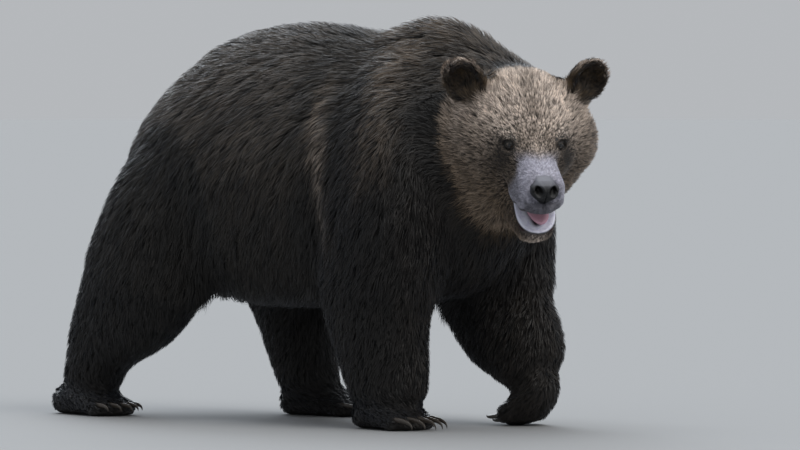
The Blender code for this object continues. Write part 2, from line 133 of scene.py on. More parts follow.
def head_way(forward, left, up):
    """World direction of a direction in the head's frame."""
    return Vector(HEAD[:3, :3] @ np.array((left, -forward, up)))


def in_head(points):
    """(forward, left, up) columns of world points."""
    own = (points - HEAD[:3, 3]) @ HEAD[:3, :3]
    return -own[:, 1], own[:, 0], own[:, 2]


def in_ear(points, side):
    """(across, ahead, up) in half sizes of one ear."""
    f, l, u = in_head(points)
    x, y, z = l - side * EAR_PLACE[1], -(f - EAR_PLACE[0]), u - EAR_PLACE[2]
    a, b = math.radians(14 * side), math.radians(26 * side)
    x, y = x * math.cos(a) + y * math.sin(a), -x * math.sin(a) + y * math.cos(a)
    x, z = x * math.cos(b) - z * math.sin(b), x * math.sin(b) + z * math.cos(b)
    return x / EAR_HALF_WIDTH, -y / 0.040, z / EAR_HALF_HEIGHT


def ruff_edge(up):
    """How far forward the rear edge of the face's ruff lies at each height."""
    return np.interp(up, (-0.27, -0.234, -0.173, -0.115, -0.06, -0.015, 0.03, 0.10, 0.13),
                     (0.092, 0.075, 0.061, 0.038, 0.009, -0.042, -0.060, -0.050, -0.045))


def probed(tree, place, out):
    """Place and normal of the surface that shows at a place when looked at against out."""
    return tree.ray_cast(place + out * PROBE, -out, 2 * PROBE)[:2]


def laid_along(ways, normals):
    """Unit directions along the skin."""
    return unit(ways - normals * np.sum(ways * normals, axis=1, keepdims=True))


def linked(name, data):
    obj = bpy.data.objects.new(name, data)
    bpy.context.scene.collection.objects.link(obj)
    return obj


def grid_faces(rows, columns, start=0, closed=False):
    """Quads between the rows of a grid of points; a closed grid joins its last column to its first."""
    index = np.arange(rows * columns).reshape(rows, columns) + start
    here, there = (index, np.roll(index, -1, axis=1)) if closed else (index[:, :-1], index[:, 1:])
    return np.stack([here[:-1], there[:-1], there[1:], here[1:]], axis=-1).reshape(-1, 4)


def mesh_object(name, points, faces, smooth=True):
    """An object from arrays of points and of triangles or quads."""
    points, faces = np.asarray(points, np.float32), np.asarray(faces, np.int32)
    mesh = bpy.data.meshes.new(name)
    sides = faces.shape[1]
    mesh.vertices.add(len(points))
    mesh.vertices.foreach_set("co", points.ravel())
    mesh.loops.add(faces.size)
    mesh.loops.foreach_set("vertex_index", faces.ravel())
    mesh.polygons.add(len(faces))
    mesh.polygons.foreach_set("loop_start", np.arange(0, faces.size, sides, dtype=np.int32))
    mesh.update(calc_edges=True)
    mesh.shade_smooth() if smooth else mesh.shade_flat()
    return linked(name, mesh)


def read_rows(items, key, width, kind=np.int32):
    flat = np.empty(len(items) * width, kind)
    items.foreach_get(key, flat)
    return flat.reshape(-1, width)


def coordinates(mesh):
    return read_rows(mesh.vertices, "co", 3, np.float32).astype(float)


def normals_of(mesh):
    return read_rows(mesh.vertex_normals, "vector", 3, np.float32).astype(float)


def move_points(mesh, points):
    mesh.vertices.foreach_set("co", points.astype(np.float32).ravel())
    mesh.update()


def point_tree(points):
    tree = KDTree(len(points))
    for i, p in enumerate(points.tolist()):
        tree.insert(p, i)
    tree.balance()
    return tree


def surface_tree(*meshes):
    """A search tree over some meshes, and for each of its faces the number of the mesh that it is from."""
    points, faces, owner = [], [], []
    for number, mesh in enumerate(meshes):
        faces += [[i + len(points) for i in p.vertices] for p in mesh.polygons]
        owner += [number] * len(mesh.polygons)
        points += coordinates(mesh).tolist()
    return BVHTree.FromPolygons(points, faces), owner


def set_attribute(mesh, name, values):
    kind = "FLOAT" if values.ndim == 1 else "FLOAT_VECTOR"
    made = mesh.attributes.new(name, kind, "POINT")
    made.data.foreach_set("value" if values.ndim == 1 else "vector", values.astype(np.float32).ravel())


def averaged(values, ends, count):
    """The mean of the neighbours' values at each vertex."""
    a, b = ends[:, 0], ends[:, 1]
    degree = np.maximum(np.bincount(a, minlength=count) + np.bincount(b, minlength=count), 1)
    flat = values.reshape(count, -1)
    sums = [np.bincount(a, column[b], count) + np.bincount(b, column[a], count) for column in flat.T]
    return (np.stack(sums, axis=1) / degree[:, None]).reshape(values.shape)


def spread_out(values, ends, passes, share=0.5):
    """Values drawn towards their neighbours' mean; a share may be given for each vertex."""
    for _ in range(passes):
        values = values + share * (averaged(values, ends, len(values)) - values)
    return values


def applied(obj):
    graph = bpy.context.evaluated_depsgraph_get()
    mesh = bpy.data.meshes.new_from_object(obj.evaluated_get(graph))
    obj.modifiers.clear()
    obj.data = mesh
    return obj


# ---- skin


def flesh_shape():
    """The nodes of flesh melted into one closed even mesh."""
    bm = bmesh.new()
    for name in FLESH:
        bm.from_mesh(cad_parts[name].data)
    bmesh.ops.recalc_face_normals(bm, faces=bm.faces)
    bm.normal_update()
    for v in bm.verts:
        v.co += v.normal * 0.0012
    mesh = bpy.data.meshes.new("bear_skin")
    bm.to_mesh(mesh)
    bm.free()
    obj = linked("bear_skin", mesh)
    remesh = obj.modifiers.new("melt", "REMESH")
    remesh.mode = "VOXEL"
    remesh.voxel_size = SKIN_VOXEL
    return applied(obj)


def nearest_parts(points):
    """For each point, the index in FLESH of the node nearest to it."""
    tree, owner = surface_tree(*(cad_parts[name].data for name in FLESH))
    return np.array([owner[tree.find_nearest(p)[2]] for p in points.tolist()])


def kind_of(name):
    return next(kind for kind in COAT if kind in name)


def of_part(weights, *kinds):
    """Each vertex's share in the parts of these kinds."""
    return sum(weights[:, i] for i, name in enumerate(FLESH) if kind_of(name) in kinds)


def head_depth(points):
    """Depth of the coat over the head, from the bare muzzle to the ruff."""
    f, l, u = in_head(points)
    back = eased(f, 0.195, 0.0)
    depth = 0.0022 + 0.0135 * back ** 1.2
    depth += 0.010 * eased(np.abs(l), 0.085, 0.165) * eased(u, 0.06, -0.03) * eased(f, 0.13, 0.03)
    depth += 0.009 * eased(u, -0.12, -0.20) * eased(f, 0.22, 0.05)
    for side in (-1, 1):
        away = np.sqrt((f - EYE_PLACE[0]) ** 2 + (l - side * EYE_PLACE[1]) ** 2 + (u - EYE_PLACE[2]) ** 2)
        depth *= 0.25 + 0.75 * eased(away, 0.018, 0.055)
    return depth


def jaw_depth(points, normals):
    ahead = in_head(points)[0]
    outer = eased(-(normals @ HEAD[:3, 2]), -0.55, 0.1)
    return 0.001 + outer * (0.008 + 0.012 * eased(ahead, 0.24, 0.05))


def shoulder_line(points):
    """How far behind the shoulder's rear edge each point lies."""
    return points[:, 1] + 0.125 + 0.060 * eased(points[:, 2], 0.90, 0.50)


def shoulder_relief(points, normals):
    """The raised rear edge of the shoulder, the hollow behind it, and the fold of the neck."""
    behind = shoulder_line(points)
    side = eased(np.abs(normals[:, 0]), 0.35, 0.75) * between(points[:, 2], 0.42, 0.52, 0.92, 1.02)
    edge = 0.009 * bell(behind, -0.022, 0.030) - 0.011 * bell(behind, 0.030, 0.026)
    fold = 0.010 * bell(points[:, 1], -0.375, 0.038) - 0.012 * bell(points[:, 1], -0.285, 0.032)
    fold *= eased(points[:, 2], 0.66, 0.76)
    return side * edge + side * fold


def coat_column(weights, column):
    return weights @ np.array([COAT[kind_of(name)][column] for name in FLESH])


def flew(f, l):
    """How far the upper lip hangs below its even hem: most on the right, where the mouth is drawn open."""
    along = np.interp(f, (0.185, 0.225, 0.285, 0.312), (0.0, 1.0, 1.0, 0.15))
    return 0.0105 * along * (0.25 + 0.75 * eased(l, 0.015, -0.035))


def lips_drawn(points, head, jaw):
    """The skin with the upper lip hanging to its hem and the rim of the lower jaw raised round the mouth."""
    f, l, u = (c.copy() for c in in_head(points))
    a = np.abs(l)
    part = eased(head, 0.35, 0.65) * eased(f, 0.145, 0.185) * eased(u, -0.152, -0.146) * eased(a, 0.11, 0.095)
    stops = (0.16, 0.20, 0.23, 0.26, 0.285, 0.305, 0.32)
    bottom = np.interp(f, stops, (-0.140, -0.128, -0.124, -0.122, -0.117, -0.114, -0.107))
    hem = np.interp(f, stops, (-0.139, -0.134, -0.128, -0.125, -0.124, -0.124, -0.122)) - flew(f, l)
    rise = (u - bottom) / (-0.07 - bottom)
    broad = np.interp(rise, (0, 0.04, 0.12, 0.23, 0.42, 0.62, 1), (1.62, 1.60, 1.40, 1.22, 1.08, 1.01, 1)) - 1
    broad = broad * np.interp(f, (0.27, 0.285, 0.30, 0.315), (1.0, 0.9, 0.5, 0.25))
    low = eased(u, -0.075, bottom)
    broad = broad + low * np.interp(f, (0.16, 0.20, 0.23, 0.26), (0.08, 0.12, 0.08, 0.02))
    ahead = 0.011 * low * eased(f, 0.28, 0.305) * np.clip(1 - a / 0.06, 0, 1)
    l = l * (1 + part * broad)
    u = u + part * low * (hem - bottom)
    f = f + part * ahead
    from_eye = np.hypot(f - EYE_PLACE[0], a - EYE_PLACE[1])
    root = head * eased(f, 0.15, 0.185) * eased(a, 0.105, 0.085) * eased(from_eye, 0.028, 0.050)
    l = l * (1 - 0.20 * root * eased(u, -0.10, -0.03) * np.interp(f, (0.20, 0.25, 0.30), (1.0, 0.7, 0.2)))
    rim = eased(jaw, 0.35, 0.65) * eased(f, 0.10, 0.16)
    top = np.interp(f, (0.15, 0.20, 0.25, 0.27), (-0.140, -0.163, -0.195, -0.210))
    near = rim * eased(u, -0.245, top)
    near = near * np.clip(eased(a, 0.036, 0.048) + eased(f, 0.252, 0.264), 0, 1)
    stops = (0.12, 0.20, 0.25, 0.27)
    u = u + near * np.interp(f, stops, (0.0, 0.006, 0.005, 0.004))
    l = l * (1 + near * np.interp(f, stops, (0.0, -0.06, 0.05, 0.06)))
    f = f + 0.014 * rim * eased(f, 0.20, 0.26) * eased(u, -0.26, -0.215)
    t = (u - PAD_MIDDLE) / PAD_HALF_HEIGHT
    inner = pad_half(t) - np.abs(l + PAD_SHIFT)
    behind_pad = eased(inner, 0.005, 0.012) * eased(np.abs(t + 0.05), 0.85, 0.65)
    f = f - 0.013 * head * eased(f, 0.285, 0.300) * behind_pad
    f = f - np.maximum(f - 0.313, 0) * eased(inner, -0.014, -0.008) * eased(np.abs(t + 0.05), 0.90, 0.75)
    own = np.stack([l, -f, u], axis=1)
    return own @ HEAD[:3, :3].T + HEAD[:3, 3]


def near_eye(f, l, u, reach):
    return (f - EYE_PLACE[0]) ** 2 + (abs(l) - EYE_PLACE[1]) ** 2 + (u - EYE_PLACE[2]) ** 2 < reach ** 2


def broad_face(f, l, u):
    ears = f > -0.12 and u > 0.09 and abs(l) > 0.10
    return (f > 0.07 and abs(l) < 0.17 and -0.35 < u < 0.15) or ears


def muzzle(f, l, u):
    return f > 0.13 and abs(l) < 0.12 and -0.32 < u < 0.06 or near_eye(f, l, u, 0.05)


def refined(bm, wanted):
    """Splits each face in four whose middle is wanted, by its place in the head's frame."""
    inverse = head_matrix().inverted()
    edges = set()
    for face in bm.faces:
        p = inverse @ face.calc_center_median()
        if wanted(-p.y, p.x, p.z):
            edges.update(face.edges)
    bmesh.ops.subdivide_edges(bm, edges=list(edges), cuts=1, use_grid_fill=True)


def make_skin():
    """The skin, lying under the solids' faces by the depth of the coat, and its vertices' part weights."""
    obj = flesh_shape()
    mesh = obj.data
    ends = read_rows(mesh.edges, "vertices", 2)
    points = coordinates(mesh)
    weights = spread_out(np.eye(len(FLESH))[nearest_parts(points)], ends, 6)
    for _ in range(9):
        points = spread_out(points, ends, 1, 0.55)
        points = spread_out(points, ends, 1, -0.50)
    broad = spread_out(weights, ends, 14)
    normals = unit(spread_out(normals_of(mesh), ends, 3))
    head, jaw = of_part(broad, "head"), of_part(broad, "jaw")
    body = coat_column(broad, 0) - head * COAT["head"][0] - jaw * COAT["jaw"][0]
    depth = np.maximum(body, 0) + head * head_depth(points) + jaw * jaw_depth(points, normals)
    sole = eased(points[:, 2], 0.035, 0.012)
    depth = depth * (1 - sole) + 0.0012 * sole
    depth = spread_out(depth, ends, 3) + 0.0012
    relief = shoulder_relief(points, normals) * (1 - head - jaw)
    steps = 4
    for _ in range(steps):
        move_points(mesh, points)
        normals = unit(spread_out(normals_of(mesh), ends, 2))
        points = points - normals * ((depth - relief) / steps)[:, None]
        deep = eased(depth, 0.008, 0.02)[:, None]
        points = spread_out(points, ends, 1, deep * 0.5)
    points[:, 2] = np.maximum(points[:, 2], SKIN_CLEARANCE)
    move_points(mesh, points)
    coarse = points.copy()
    bm = bmesh.new()
    bm.from_mesh(mesh)
    refined(bm, broad_face)
    refined(bm, muzzle)
    for reach in (0.032, 0.024):
        refined(bm, lambda *place: near_eye(*place, reach))
    bmesh.ops.triangulate(bm, faces=bm.faces)
    bm.to_mesh(mesh)
    bm.free()
    mesh.shade_smooth()
    points = coordinates(mesh)
    ends = read_rows(mesh.edges, "vertices", 2)
    tree = point_tree(coarse)
    index = np.array([tree.find(p)[1] for p in points.tolist()])
    f, l = in_head(points)[:2]
    fine = (eased(f, 0.05, 0.08) * eased(np.abs(l), 0.19, 0.16) * (points[:, 2] > 0.55))[:, None]
    points = spread_out(points, ends, 5, fine * 0.5)
    weights = spread_out(weights[index], ends, 3)
    points = lips_drawn(points, of_part(weights, "head"), of_part(weights, "jaw"))
    move_points(mesh, points)
    return obj, weights, depth[index]


# ---- eyes


def eye_axes(side):
    """Centre, out, across (towards the ear) and up of an eye."""
    out = head_way(0.80, side * 0.55, 0.22).normalized()
    centre = head_point(EYE_PLACE[0], side * EYE_PLACE[1], EYE_PLACE[2]) - out * EYE_SINK
    across = head_way(-0.50, side * 0.80, 0.16).normalized()
    across = (across - out * across.dot(out)).normalized()
    up = head_way(0, 0, 1)
    up = (up - out * up.dot(out) - across * up.dot(across)).normalized()
    return centre, out, across, up


def about_eye(points, side):
    """(across, up, out) columns of world points about an eye's centre."""
    centre, out, across, up = (np.array(v) for v in eye_axes(side))
    rel = points - centre
    return rel @ across, rel @ up, rel @ out


def open_sockets(obj):
    """Sinks the skin behind each eye, and returns the lids that close the gap round it."""
    mesh = obj.data
    points = coordinates(mesh)
    lids = eyelids(surface_tree(mesh)[0])
    for side in (-1, 1):
        x, y, z = about_eye(points, side)
        flat = np.sqrt(x ** 2 + y ** 2)
        near = (flat < 0.030) & (z > -0.015)
        target = z * eased(flat, 0.0165, 0.0215) - 0.004 * eased(flat, 0.0215, 0.0165)
        points += (near * (np.minimum(target, z) - z))[:, None] * np.array(eye_axes(side)[1])
    move_points(mesh, points)
    return lids


def eyelids(tree):
    """The lids of both eyes: from a wet rim on an almond line, over the eye, down to the skin around."""
    points, wet = [], []
    count, rows = 64, 22
    for side in (-1, 1):
        centre, out, across, up = eye_axes(side)
        for j in range(rows):
            t = max(j - 2, 0) / (rows - 3)
            for k in range(count):
                a = 2 * math.pi * k / count
                c, d = math.cos(a), math.sin(a)
                tall = EYE_HALF_HEIGHT if d > 0 else EYE_HALF_HEIGHT * 0.82
                inner = Vector((EYE_HALF_WIDTH * c * (1.14 if c < 0 else 1.0),
                                tall * math.copysign(abs(d) ** 1.05, d) + 0.0007 * c))
                p = inner.lerp(Vector((c, d)) * LIDS_REACH, t ** 1.25)
                flat = p.length
                lift = (-0.0006, 0.0008, 0.0015)[min(j, 2)] + 0.0011 * math.sin(math.pi * min(t * 3, 1))
                dome = math.sqrt(max((EYE_RADIUS + lift) ** 2 - flat * flat, 0.0))
                start = centre + across * p.x + up * p.y
                hit = probed(tree, start, out)[0]
                ground = (hit - start).dot(out) if hit else 0.0
                share = float(eased(flat, 0.0105, 0.0205))
                tucked = 0.0022 * float(eased(t, 0.85, 1.0))
                z = dome * (1 - share) + (ground + 0.0003 - tucked) * share
                z += 0.0048 * max(d, 0) * math.exp(-((flat - 0.0185) / 0.0055) ** 2)
                if d > 0.1:
                    z -= 0.0013 * math.exp(-((t - 0.20) / 0.05) ** 2) * d
                if d < -0.1:
                    z -= 0.0010 * math.exp(-((t - 0.24) / 0.06) ** 2) * -d
                points.append(start + out * z)
                wet.append(float(eased(j, 4.5 if d > 0 else 3.5, 2)))
    faces = [grid_faces(rows, count, number * rows * count, closed=True) for number in (0, 1)]
    obj = mesh_object("eyelids", points, np.concatenate(faces))
    set_attribute(obj.data, "wet", np.array(wet))
    return obj


def eyeball(name, side):
    """A slightly bulged eye whose pole looks out."""
    centre, out = eye_axes(side)[:2]
    gaze = (out + head_way(0.30, -side * 0.05, 0.02)).normalized()
    bm = bmesh.new()
    bmesh.ops.create_uvsphere(bm, u_segments=40, v_segments=28, radius=EYE_RADIUS)
    for v in bm.verts:
        v.co.z += 0.0009 * float(eased(v.co.z / EYE_RADIUS, 0.78, 0.98))
    mesh = bpy.data.meshes.new(name)
    bm.to_mesh(mesh)
    bm.free()
    mesh.shade_smooth()
    points = coordinates(mesh)
    set_attribute(mesh, "gaze", points[:, 2] / EYE_RADIUS)
    turn = gaze.to_track_quat("Z", "Y").to_matrix()
    points = points @ np.array(turn).T + np.array(centre)
    move_points(mesh, points)
    return linked(name, mesh)


# ---- nose and mouth


PAD_MIDDLE = -0.061
PAD_HALF_HEIGHT = 0.040
PAD_SHIFT = 0.002  # the pad stands this far to the right of the head's middle


def pad_half(t):
    """Half the width of the nose pad from its lower end (-1) to its top (1)."""
    return 0.010 + 0.031 * eased(t, -1.05, 0.05) - 0.013 * eased(t, 0.35, 1.0)


def nose_pad():
    """A broad leather pad with open nostrils, swollen wings and a lip groove, as a dome over a grid."""
    columns, rows = 140, 112
    s, t = np.meshgrid(np.linspace(-1, 1, columns), np.linspace(-1, 1, rows))
    left = pad_half(t) * np.sin(s * math.pi / 2 * 0.98)
    up = PAD_MIDDLE + PAD_HALF_HEIGHT * t - 0.009 * s * s * eased(t, 0.1, 1.0)
    stops = (-1, -0.6, -0.1, 0.35, 0.7, 0.9, 1)
    ahead = np.interp(t, stops, (0.312, 0.331, 0.341, 0.341, 0.333, 0.318, 0.294))
    ahead = ahead - 0.032 * np.abs(s) ** 3.4 - 0.004 * s * s - 0.012 * np.abs(s) ** 3 * eased(t, 0.5, 1.0)
    a = np.abs(left)
    hole = np.hypot((a - 0.0205) / 0.0128, (up + 0.0480 - 0.20 * (a - 0.0205)) / 0.0140)
    slit = np.hypot(np.maximum(0.024 - a, 0) / 0.004, (up + 0.0475 + 0.55 * (a - 0.024)) / 0.0032)
    well = 0.019 * eased(hole, 1.12, 0.05) + 0.0035 * eased(slit, 1.3, 0.3) * eased(a, 0.0375, 0.0325)
    wing = 0.0050 * bell(a, 0.0225, 0.0095, up, -0.0690, 0.0075)
    rim = 0.0018 * bell(hole, 1.35, 0.25)
    bridge = 0.0022 * bell(a, 0, 0.007, up, -0.046, 0.016)
    groove = 0.0036 * bell(a, 0, 0.0019) * eased(up, -0.052, -0.066)
    ahead = ahead + wing + rim + bridge - well - groove
    points = [head_point(f, l - PAD_SHIFT, h) for f, l, h in zip(ahead.flat, left.flat, up.flat)]
    obj = mesh_object("nose_pad", points, grid_faces(rows, columns))
    # The wells of the nostrils and their slits are painted near black: painted shade inside them.
    set_attribute(obj.data, "hollow", np.clip(well / 0.005, 0, 1).ravel())
    # The pad's top and sides fade toward the muzzle's grey; on the top this lighter brim is also a painted
    # highlight.
    brim_and_highlight = np.maximum(eased(t, 0.45, 0.95), eased(np.abs(s), 0.80, 1.0) * 0.6)
    set_attribute(obj.data, "brim_and_highlight", brim_and_highlight.ravel())
    return obj


def run_between(stops, steps):
    """Points on a smooth line through the stops."""
    stops = np.array(stops, float)
    padded = np.vstack([2 * stops[0] - stops[1], stops, 2 * stops[-1] - stops[-2]])
    made = []
    for i in range(len(stops) - 1):
        a, b, c, d = padded[i:i + 4]
        for k in range(steps):
            t = k / steps
            bend = (2 * a - 5 * b + 4 * c - d) * t * t + (3 * b - a - 3 * c + d) * t ** 3
            made.append(0.5 * (2 * b + (c - a) * t + bend))
    return np.array(made + [stops[-1]])


def ribbon(name, lines):
    """A sheet through lines of the same number of points, given in the head's frame."""
    lines = [np.array([head_point(*p) for p in line]) for line in lines]
    return mesh_object(name, np.concatenate(lines), grid_faces(len(lines), len(lines[0])))


# Half of the lower lip, from the middle of the chin to the corner: the gum, the crest and the hanging edge;
# then half of the upper lip's hem.
LIP_GUM = [(0.268, 0.0, -0.190), (0.262, 0.008, -0.188), (0.248, 0.013, -0.181), (0.225, 0.018, -0.170),
           (0.20, 0.024, -0.156), (0.185, 0.030, -0.146), (0.170, 0.036, -0.138)]
LIP_CREST = [(0.287, 0.0, -0.197), (0.283, 0.022, -0.194), (0.270, 0.040, -0.186), (0.250, 0.050, -0.173),
             (0.225, 0.053, -0.157), (0.20, 0.052, -0.146), (0.180, 0.046, -0.143)]
LIP_EDGE = [(0.289, 0.0, -0.206), (0.285, 0.023, -0.203), (0.272, 0.042, -0.195), (0.252, 0.0535, -0.182),
            (0.226, 0.057, -0.166), (0.20, 0.056, -0.154), (0.178, 0.048, -0.149)]
UPPER_LIP = [(0.319, 0.0, -0.119), (0.315, 0.020, -0.121), (0.305, 0.039, -0.121), (0.285, 0.057, -0.121),
             (0.260, 0.0670, -0.122), (0.230, 0.0715, -0.127), (0.205, 0.0700, -0.131)]


def both_sides(stops, steps=8):
    """A line from the right corner round the front to the left corner."""
    half = run_between(stops, steps)
    other = half[:0:-1] * (1, -1, 1)
    return np.vstack([other, half])


def lower_lip():
    """The slack lower lip: gum, rounded crest and hanging edge."""
    gum, crest, edge = (both_sides(s) for s in (LIP_GUM, LIP_CREST, LIP_EDGE))
    inside = gum * (1, 0.15, 1) - np.array([0.022, 0, 0.006])
    lines = [inside, gum]
    for t in (0.25, 0.5, 0.75):
        lines.append(gum * (1 - t) + crest * t - np.array([0, 0, 0.003]) * math.sin(math.pi * t))
    lines.append(crest)
    for t in (0.3, 0.6, 0.85):
        out = unit((edge - gum) * (1, 1, 0))
        lines.append(crest * (1 - t) + edge * t + out * 0.0028 * math.sin(math.pi * t))
    lines.append(edge)
    under = edge - (edge - gum) * 0.18 - np.array([0, 0, 0.006])
    lines.append(under)
    lines.append(under - (edge - gum) * 0.25 - np.array([0, 0, 0.006]))
    obj = ribbon("lower_lip", lines)
    # Paleness of each line: the inner line on the floor of the mouth is dark, painted shade in the mouth; the
    # gum half pale, the crest pale, the hanging edge and the lines under it dark.
    band = np.array([0.05, 0.3, 0.75, 1, 1, 1, 0.8, 0.15, 0, 0, 0, 0])
    set_attribute(obj.data, "paleness", np.repeat(band, len(gum)))
    return obj


def upper_lip(skin):
    """The dark hem of the upper lip, laid on the rim of the skin and tapered into it at the corners."""
    tree = surface_tree(skin.data)[0]
    hung = [(f, l, u - flew(f, l)) for f, l, u in both_sides(UPPER_LIP)]
    laid = np.array([tree.find_nearest(head_point(*stop))[0] for stop in hung])
    for _ in range(4):
        laid[1:-1] = (laid[:-2] + 2 * laid[1:-1] + laid[2:]) / 4
    line = np.stack(in_head(laid), axis=1)
    number = np.arange(len(line))[:, None]
    taper = np.clip(np.minimum(number, number[::-1]) / 9, 0.08, 1) ** 0.6
    line = line - np.array((0, 0, 0.0015)) * taper + np.array((0, 0, 0.004)) * (1 - taper)
    middle = np.array([0.15, 0.0, -0.12])
    out = unit((line - middle) * (1, 1, 0))
    rows = []
    for a in np.linspace(0, 2 * math.pi, 11):
        rows.append(line + 0.0026 * taper * (out * math.cos(a) * 0.8 + np.array([0, 0, 1.15]) * math.sin(a)))
    return ribbon("upper_lip", rows)


def tongue():
    """A broad tongue with a middle groove, lying in the lower jaw."""
    rows, columns = 40, 28
    points = []
    for i in range(rows):
        t = i / (rows - 1)
        f = 0.10 + 0.167 * t
        u = -0.140 - 0.044 * t + 0.006 * math.sin(math.pi * t)
        shift = 0.012 * eased(t, 0.2, 1.0)
        half = 0.033 * math.sqrt(max(1 - max((t - 0.60) / 0.40, 0) ** 2.2, 0.0))
        for k in range(columns):
            a = 2 * math.pi * k / columns
            x, up = math.cos(a), math.sin(a)
            lift = 0.009 * up if up > 0 else 0.012 * up
            lift -= 0.0035 * math.exp(-(x / 0.22) ** 2) * max(up, 0) * (0.4 + 0.6 * math.sin(math.pi * t))
            lift *= 0.35 + 0.65 * math.sqrt(max(1 - t ** 4, 0))
            points.append(head_point(f, shift + half * x, u + lift))
    return mesh_object("tongue_flesh", points, grid_faces(rows, columns, closed=True))


# ---- claws


LIFTED_FOOT = 0.07  # a foot whose middle is higher than this is off the ground
CLAW_RADIUS = 0.0088
CLAW_BURIED = 0.036


def claws(leg):
    """Five smooth curved claws in place of the foot's plain ones."""
    foot = coordinates(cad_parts[leg + "_foot"].data).mean(axis=0)
    rise, bend = (0.010, -0.16) if foot[2] > LIFTED_FOOT else (-0.011, 0.30)
    rings, sides = 12, 14
    points = []
    for number in range(1, 6):
        rough = coordinates(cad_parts[f"claw_{leg}_{number}"].data)
        away = np.linalg.norm(rough - foot, axis=1)
        tip = rough[np.argmax(away)]
        order = np.argsort(np.linalg.norm(rough - tip, axis=1))
        root = rough[order[-5:]].mean(axis=0)
        middle = rough[order[1:6]].mean(axis=0)
        back = (root - tip) * (1, 1, 0)
        root = root + unit(back) * CLAW_BURIED + np.array((0, 0, rise))
        control = 2 * middle - 0.5 * (root + tip)
        control = 0.6 * control + 0.4 * (root + tip) / 2
        control[2] += bend * np.linalg.norm(tip - root)
        across = unit(np.cross(tip - root, (0, 0, 1.0)))
        for i in range(rings):
            t = i / (rings - 1)
            centre = (1 - t) ** 2 * root + 2 * t * (1 - t) * control + t * t * tip
            along = unit(2 * (1 - t) * (control - root) + 2 * t * (tip - control))
            up = np.cross(across, along)
            size = CLAW_RADIUS * (1 - t) ** 0.55 * (1 - 0.25 * t) if i < rings - 1 else 0.0004
            for k in range(sides):
                a = 2 * math.pi * k / sides
                points.append(centre + across * size * 0.62 * math.cos(a) + up * size * math.sin(a))
    points = np.array(points)
    points[:, 2] = np.maximum(points[:, 2], CLAW_CLEARANCE)
    faces = [grid_faces(rings, sides, number * rings * sides, closed=True) for number in range(5)]
    return mesh_object("claws_" + leg, points, np.concatenate(faces))


# ---- the lie of the coat


def foot_ways():
    """For each foot, the way from its middle to its claws."""
    def middle(name):
        return coordinates(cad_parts[name].data).mean(axis=0)

    def claw_middles(leg):
        return np.mean([middle(f"claw_{leg}_{k}") for k in range(1, 6)], axis=0)

    return {leg: unit(claw_middles(leg) - middle(leg + "_foot")) for leg in LEGS}


def ear_base(side):
    return np.array(head_point(-0.045, side * 0.150, 0.070))


def lie_of_coat(points, normals, weights, ends):
    """A unit direction along the skin at each vertex."""
    ways = foot_ways()
    flow = np.zeros_like(points)
    f, l, u = in_head(points)
    nose = np.array(head_point(0.31, 0.0, -0.06))
    radial = unit(points - nose + np.outer(l * 0.9, head_way(0, 1, 0)))
    radial = radial + np.outer(-0.35 * eased(u, 0.02, -0.10) * eased(f, 0.16, 0.0), head_way(0, 0, 1))
    for side in (-1, 1):
        apart = points - np.array(eye_axes(side)[0])
        reach = np.linalg.norm(apart, axis=1)[:, None]
        radial = radial + 1.7 * bell(reach, 0, 0.021) * apart / np.maximum(reach, 1e-6)
    for index, name in enumerate(FLESH):
        kind = kind_of(name)
        if kind == "head":
            way = radial
        elif kind == "jaw":
            way = unit(radial) + np.array((0, 0.1, -0.5))
        elif kind == "ear":
            side = 1 if name.endswith("left") else -1
            way = unit(points - ear_base(side))
        elif kind == "foot":
            leg = name[:-5]
            way = np.tile(ways[leg] + np.array((0, 0, -0.15)), (len(points), 1))
        else:
            top = np.clip(normals[:, 2], 0, 1)[:, None]
            left, back, up = COAT[kind][5]
            way = np.array((left, back, 0)) + top ** 3 * (0, 1.5, 0) + (1 - top ** 2) * (0, 0, up)
        flow += weights[:, [index]] * way
    flow = laid_along(flow, normals)
    for _ in range(14):
        flow = laid_along(spread_out(flow, ends, 1), normals)
    return flow


# ---- markings


def mouth_lining(points, normals):
    """1 on the skin inside the open mouth."""
    f, l, u = in_head(points)
    facing = normals @ HEAD[:3, 2]
    roof = eased(facing, -0.25, -0.55) * eased(u, -0.10, -0.125) * eased(u, -0.172, -0.160)
    bed = eased(facing, 0.15, 0.5) * eased(u, -0.125, -0.135) * eased(u, -0.23, -0.21)
    inside = between(f, 0.10, 0.13, 0.300, 0.310)
    roof, bed = roof * eased(np.abs(l), 0.070, 0.062), bed * eased(np.abs(l), 0.053, 0.046)
    return np.clip(roof + bed, 0, 1) * inside


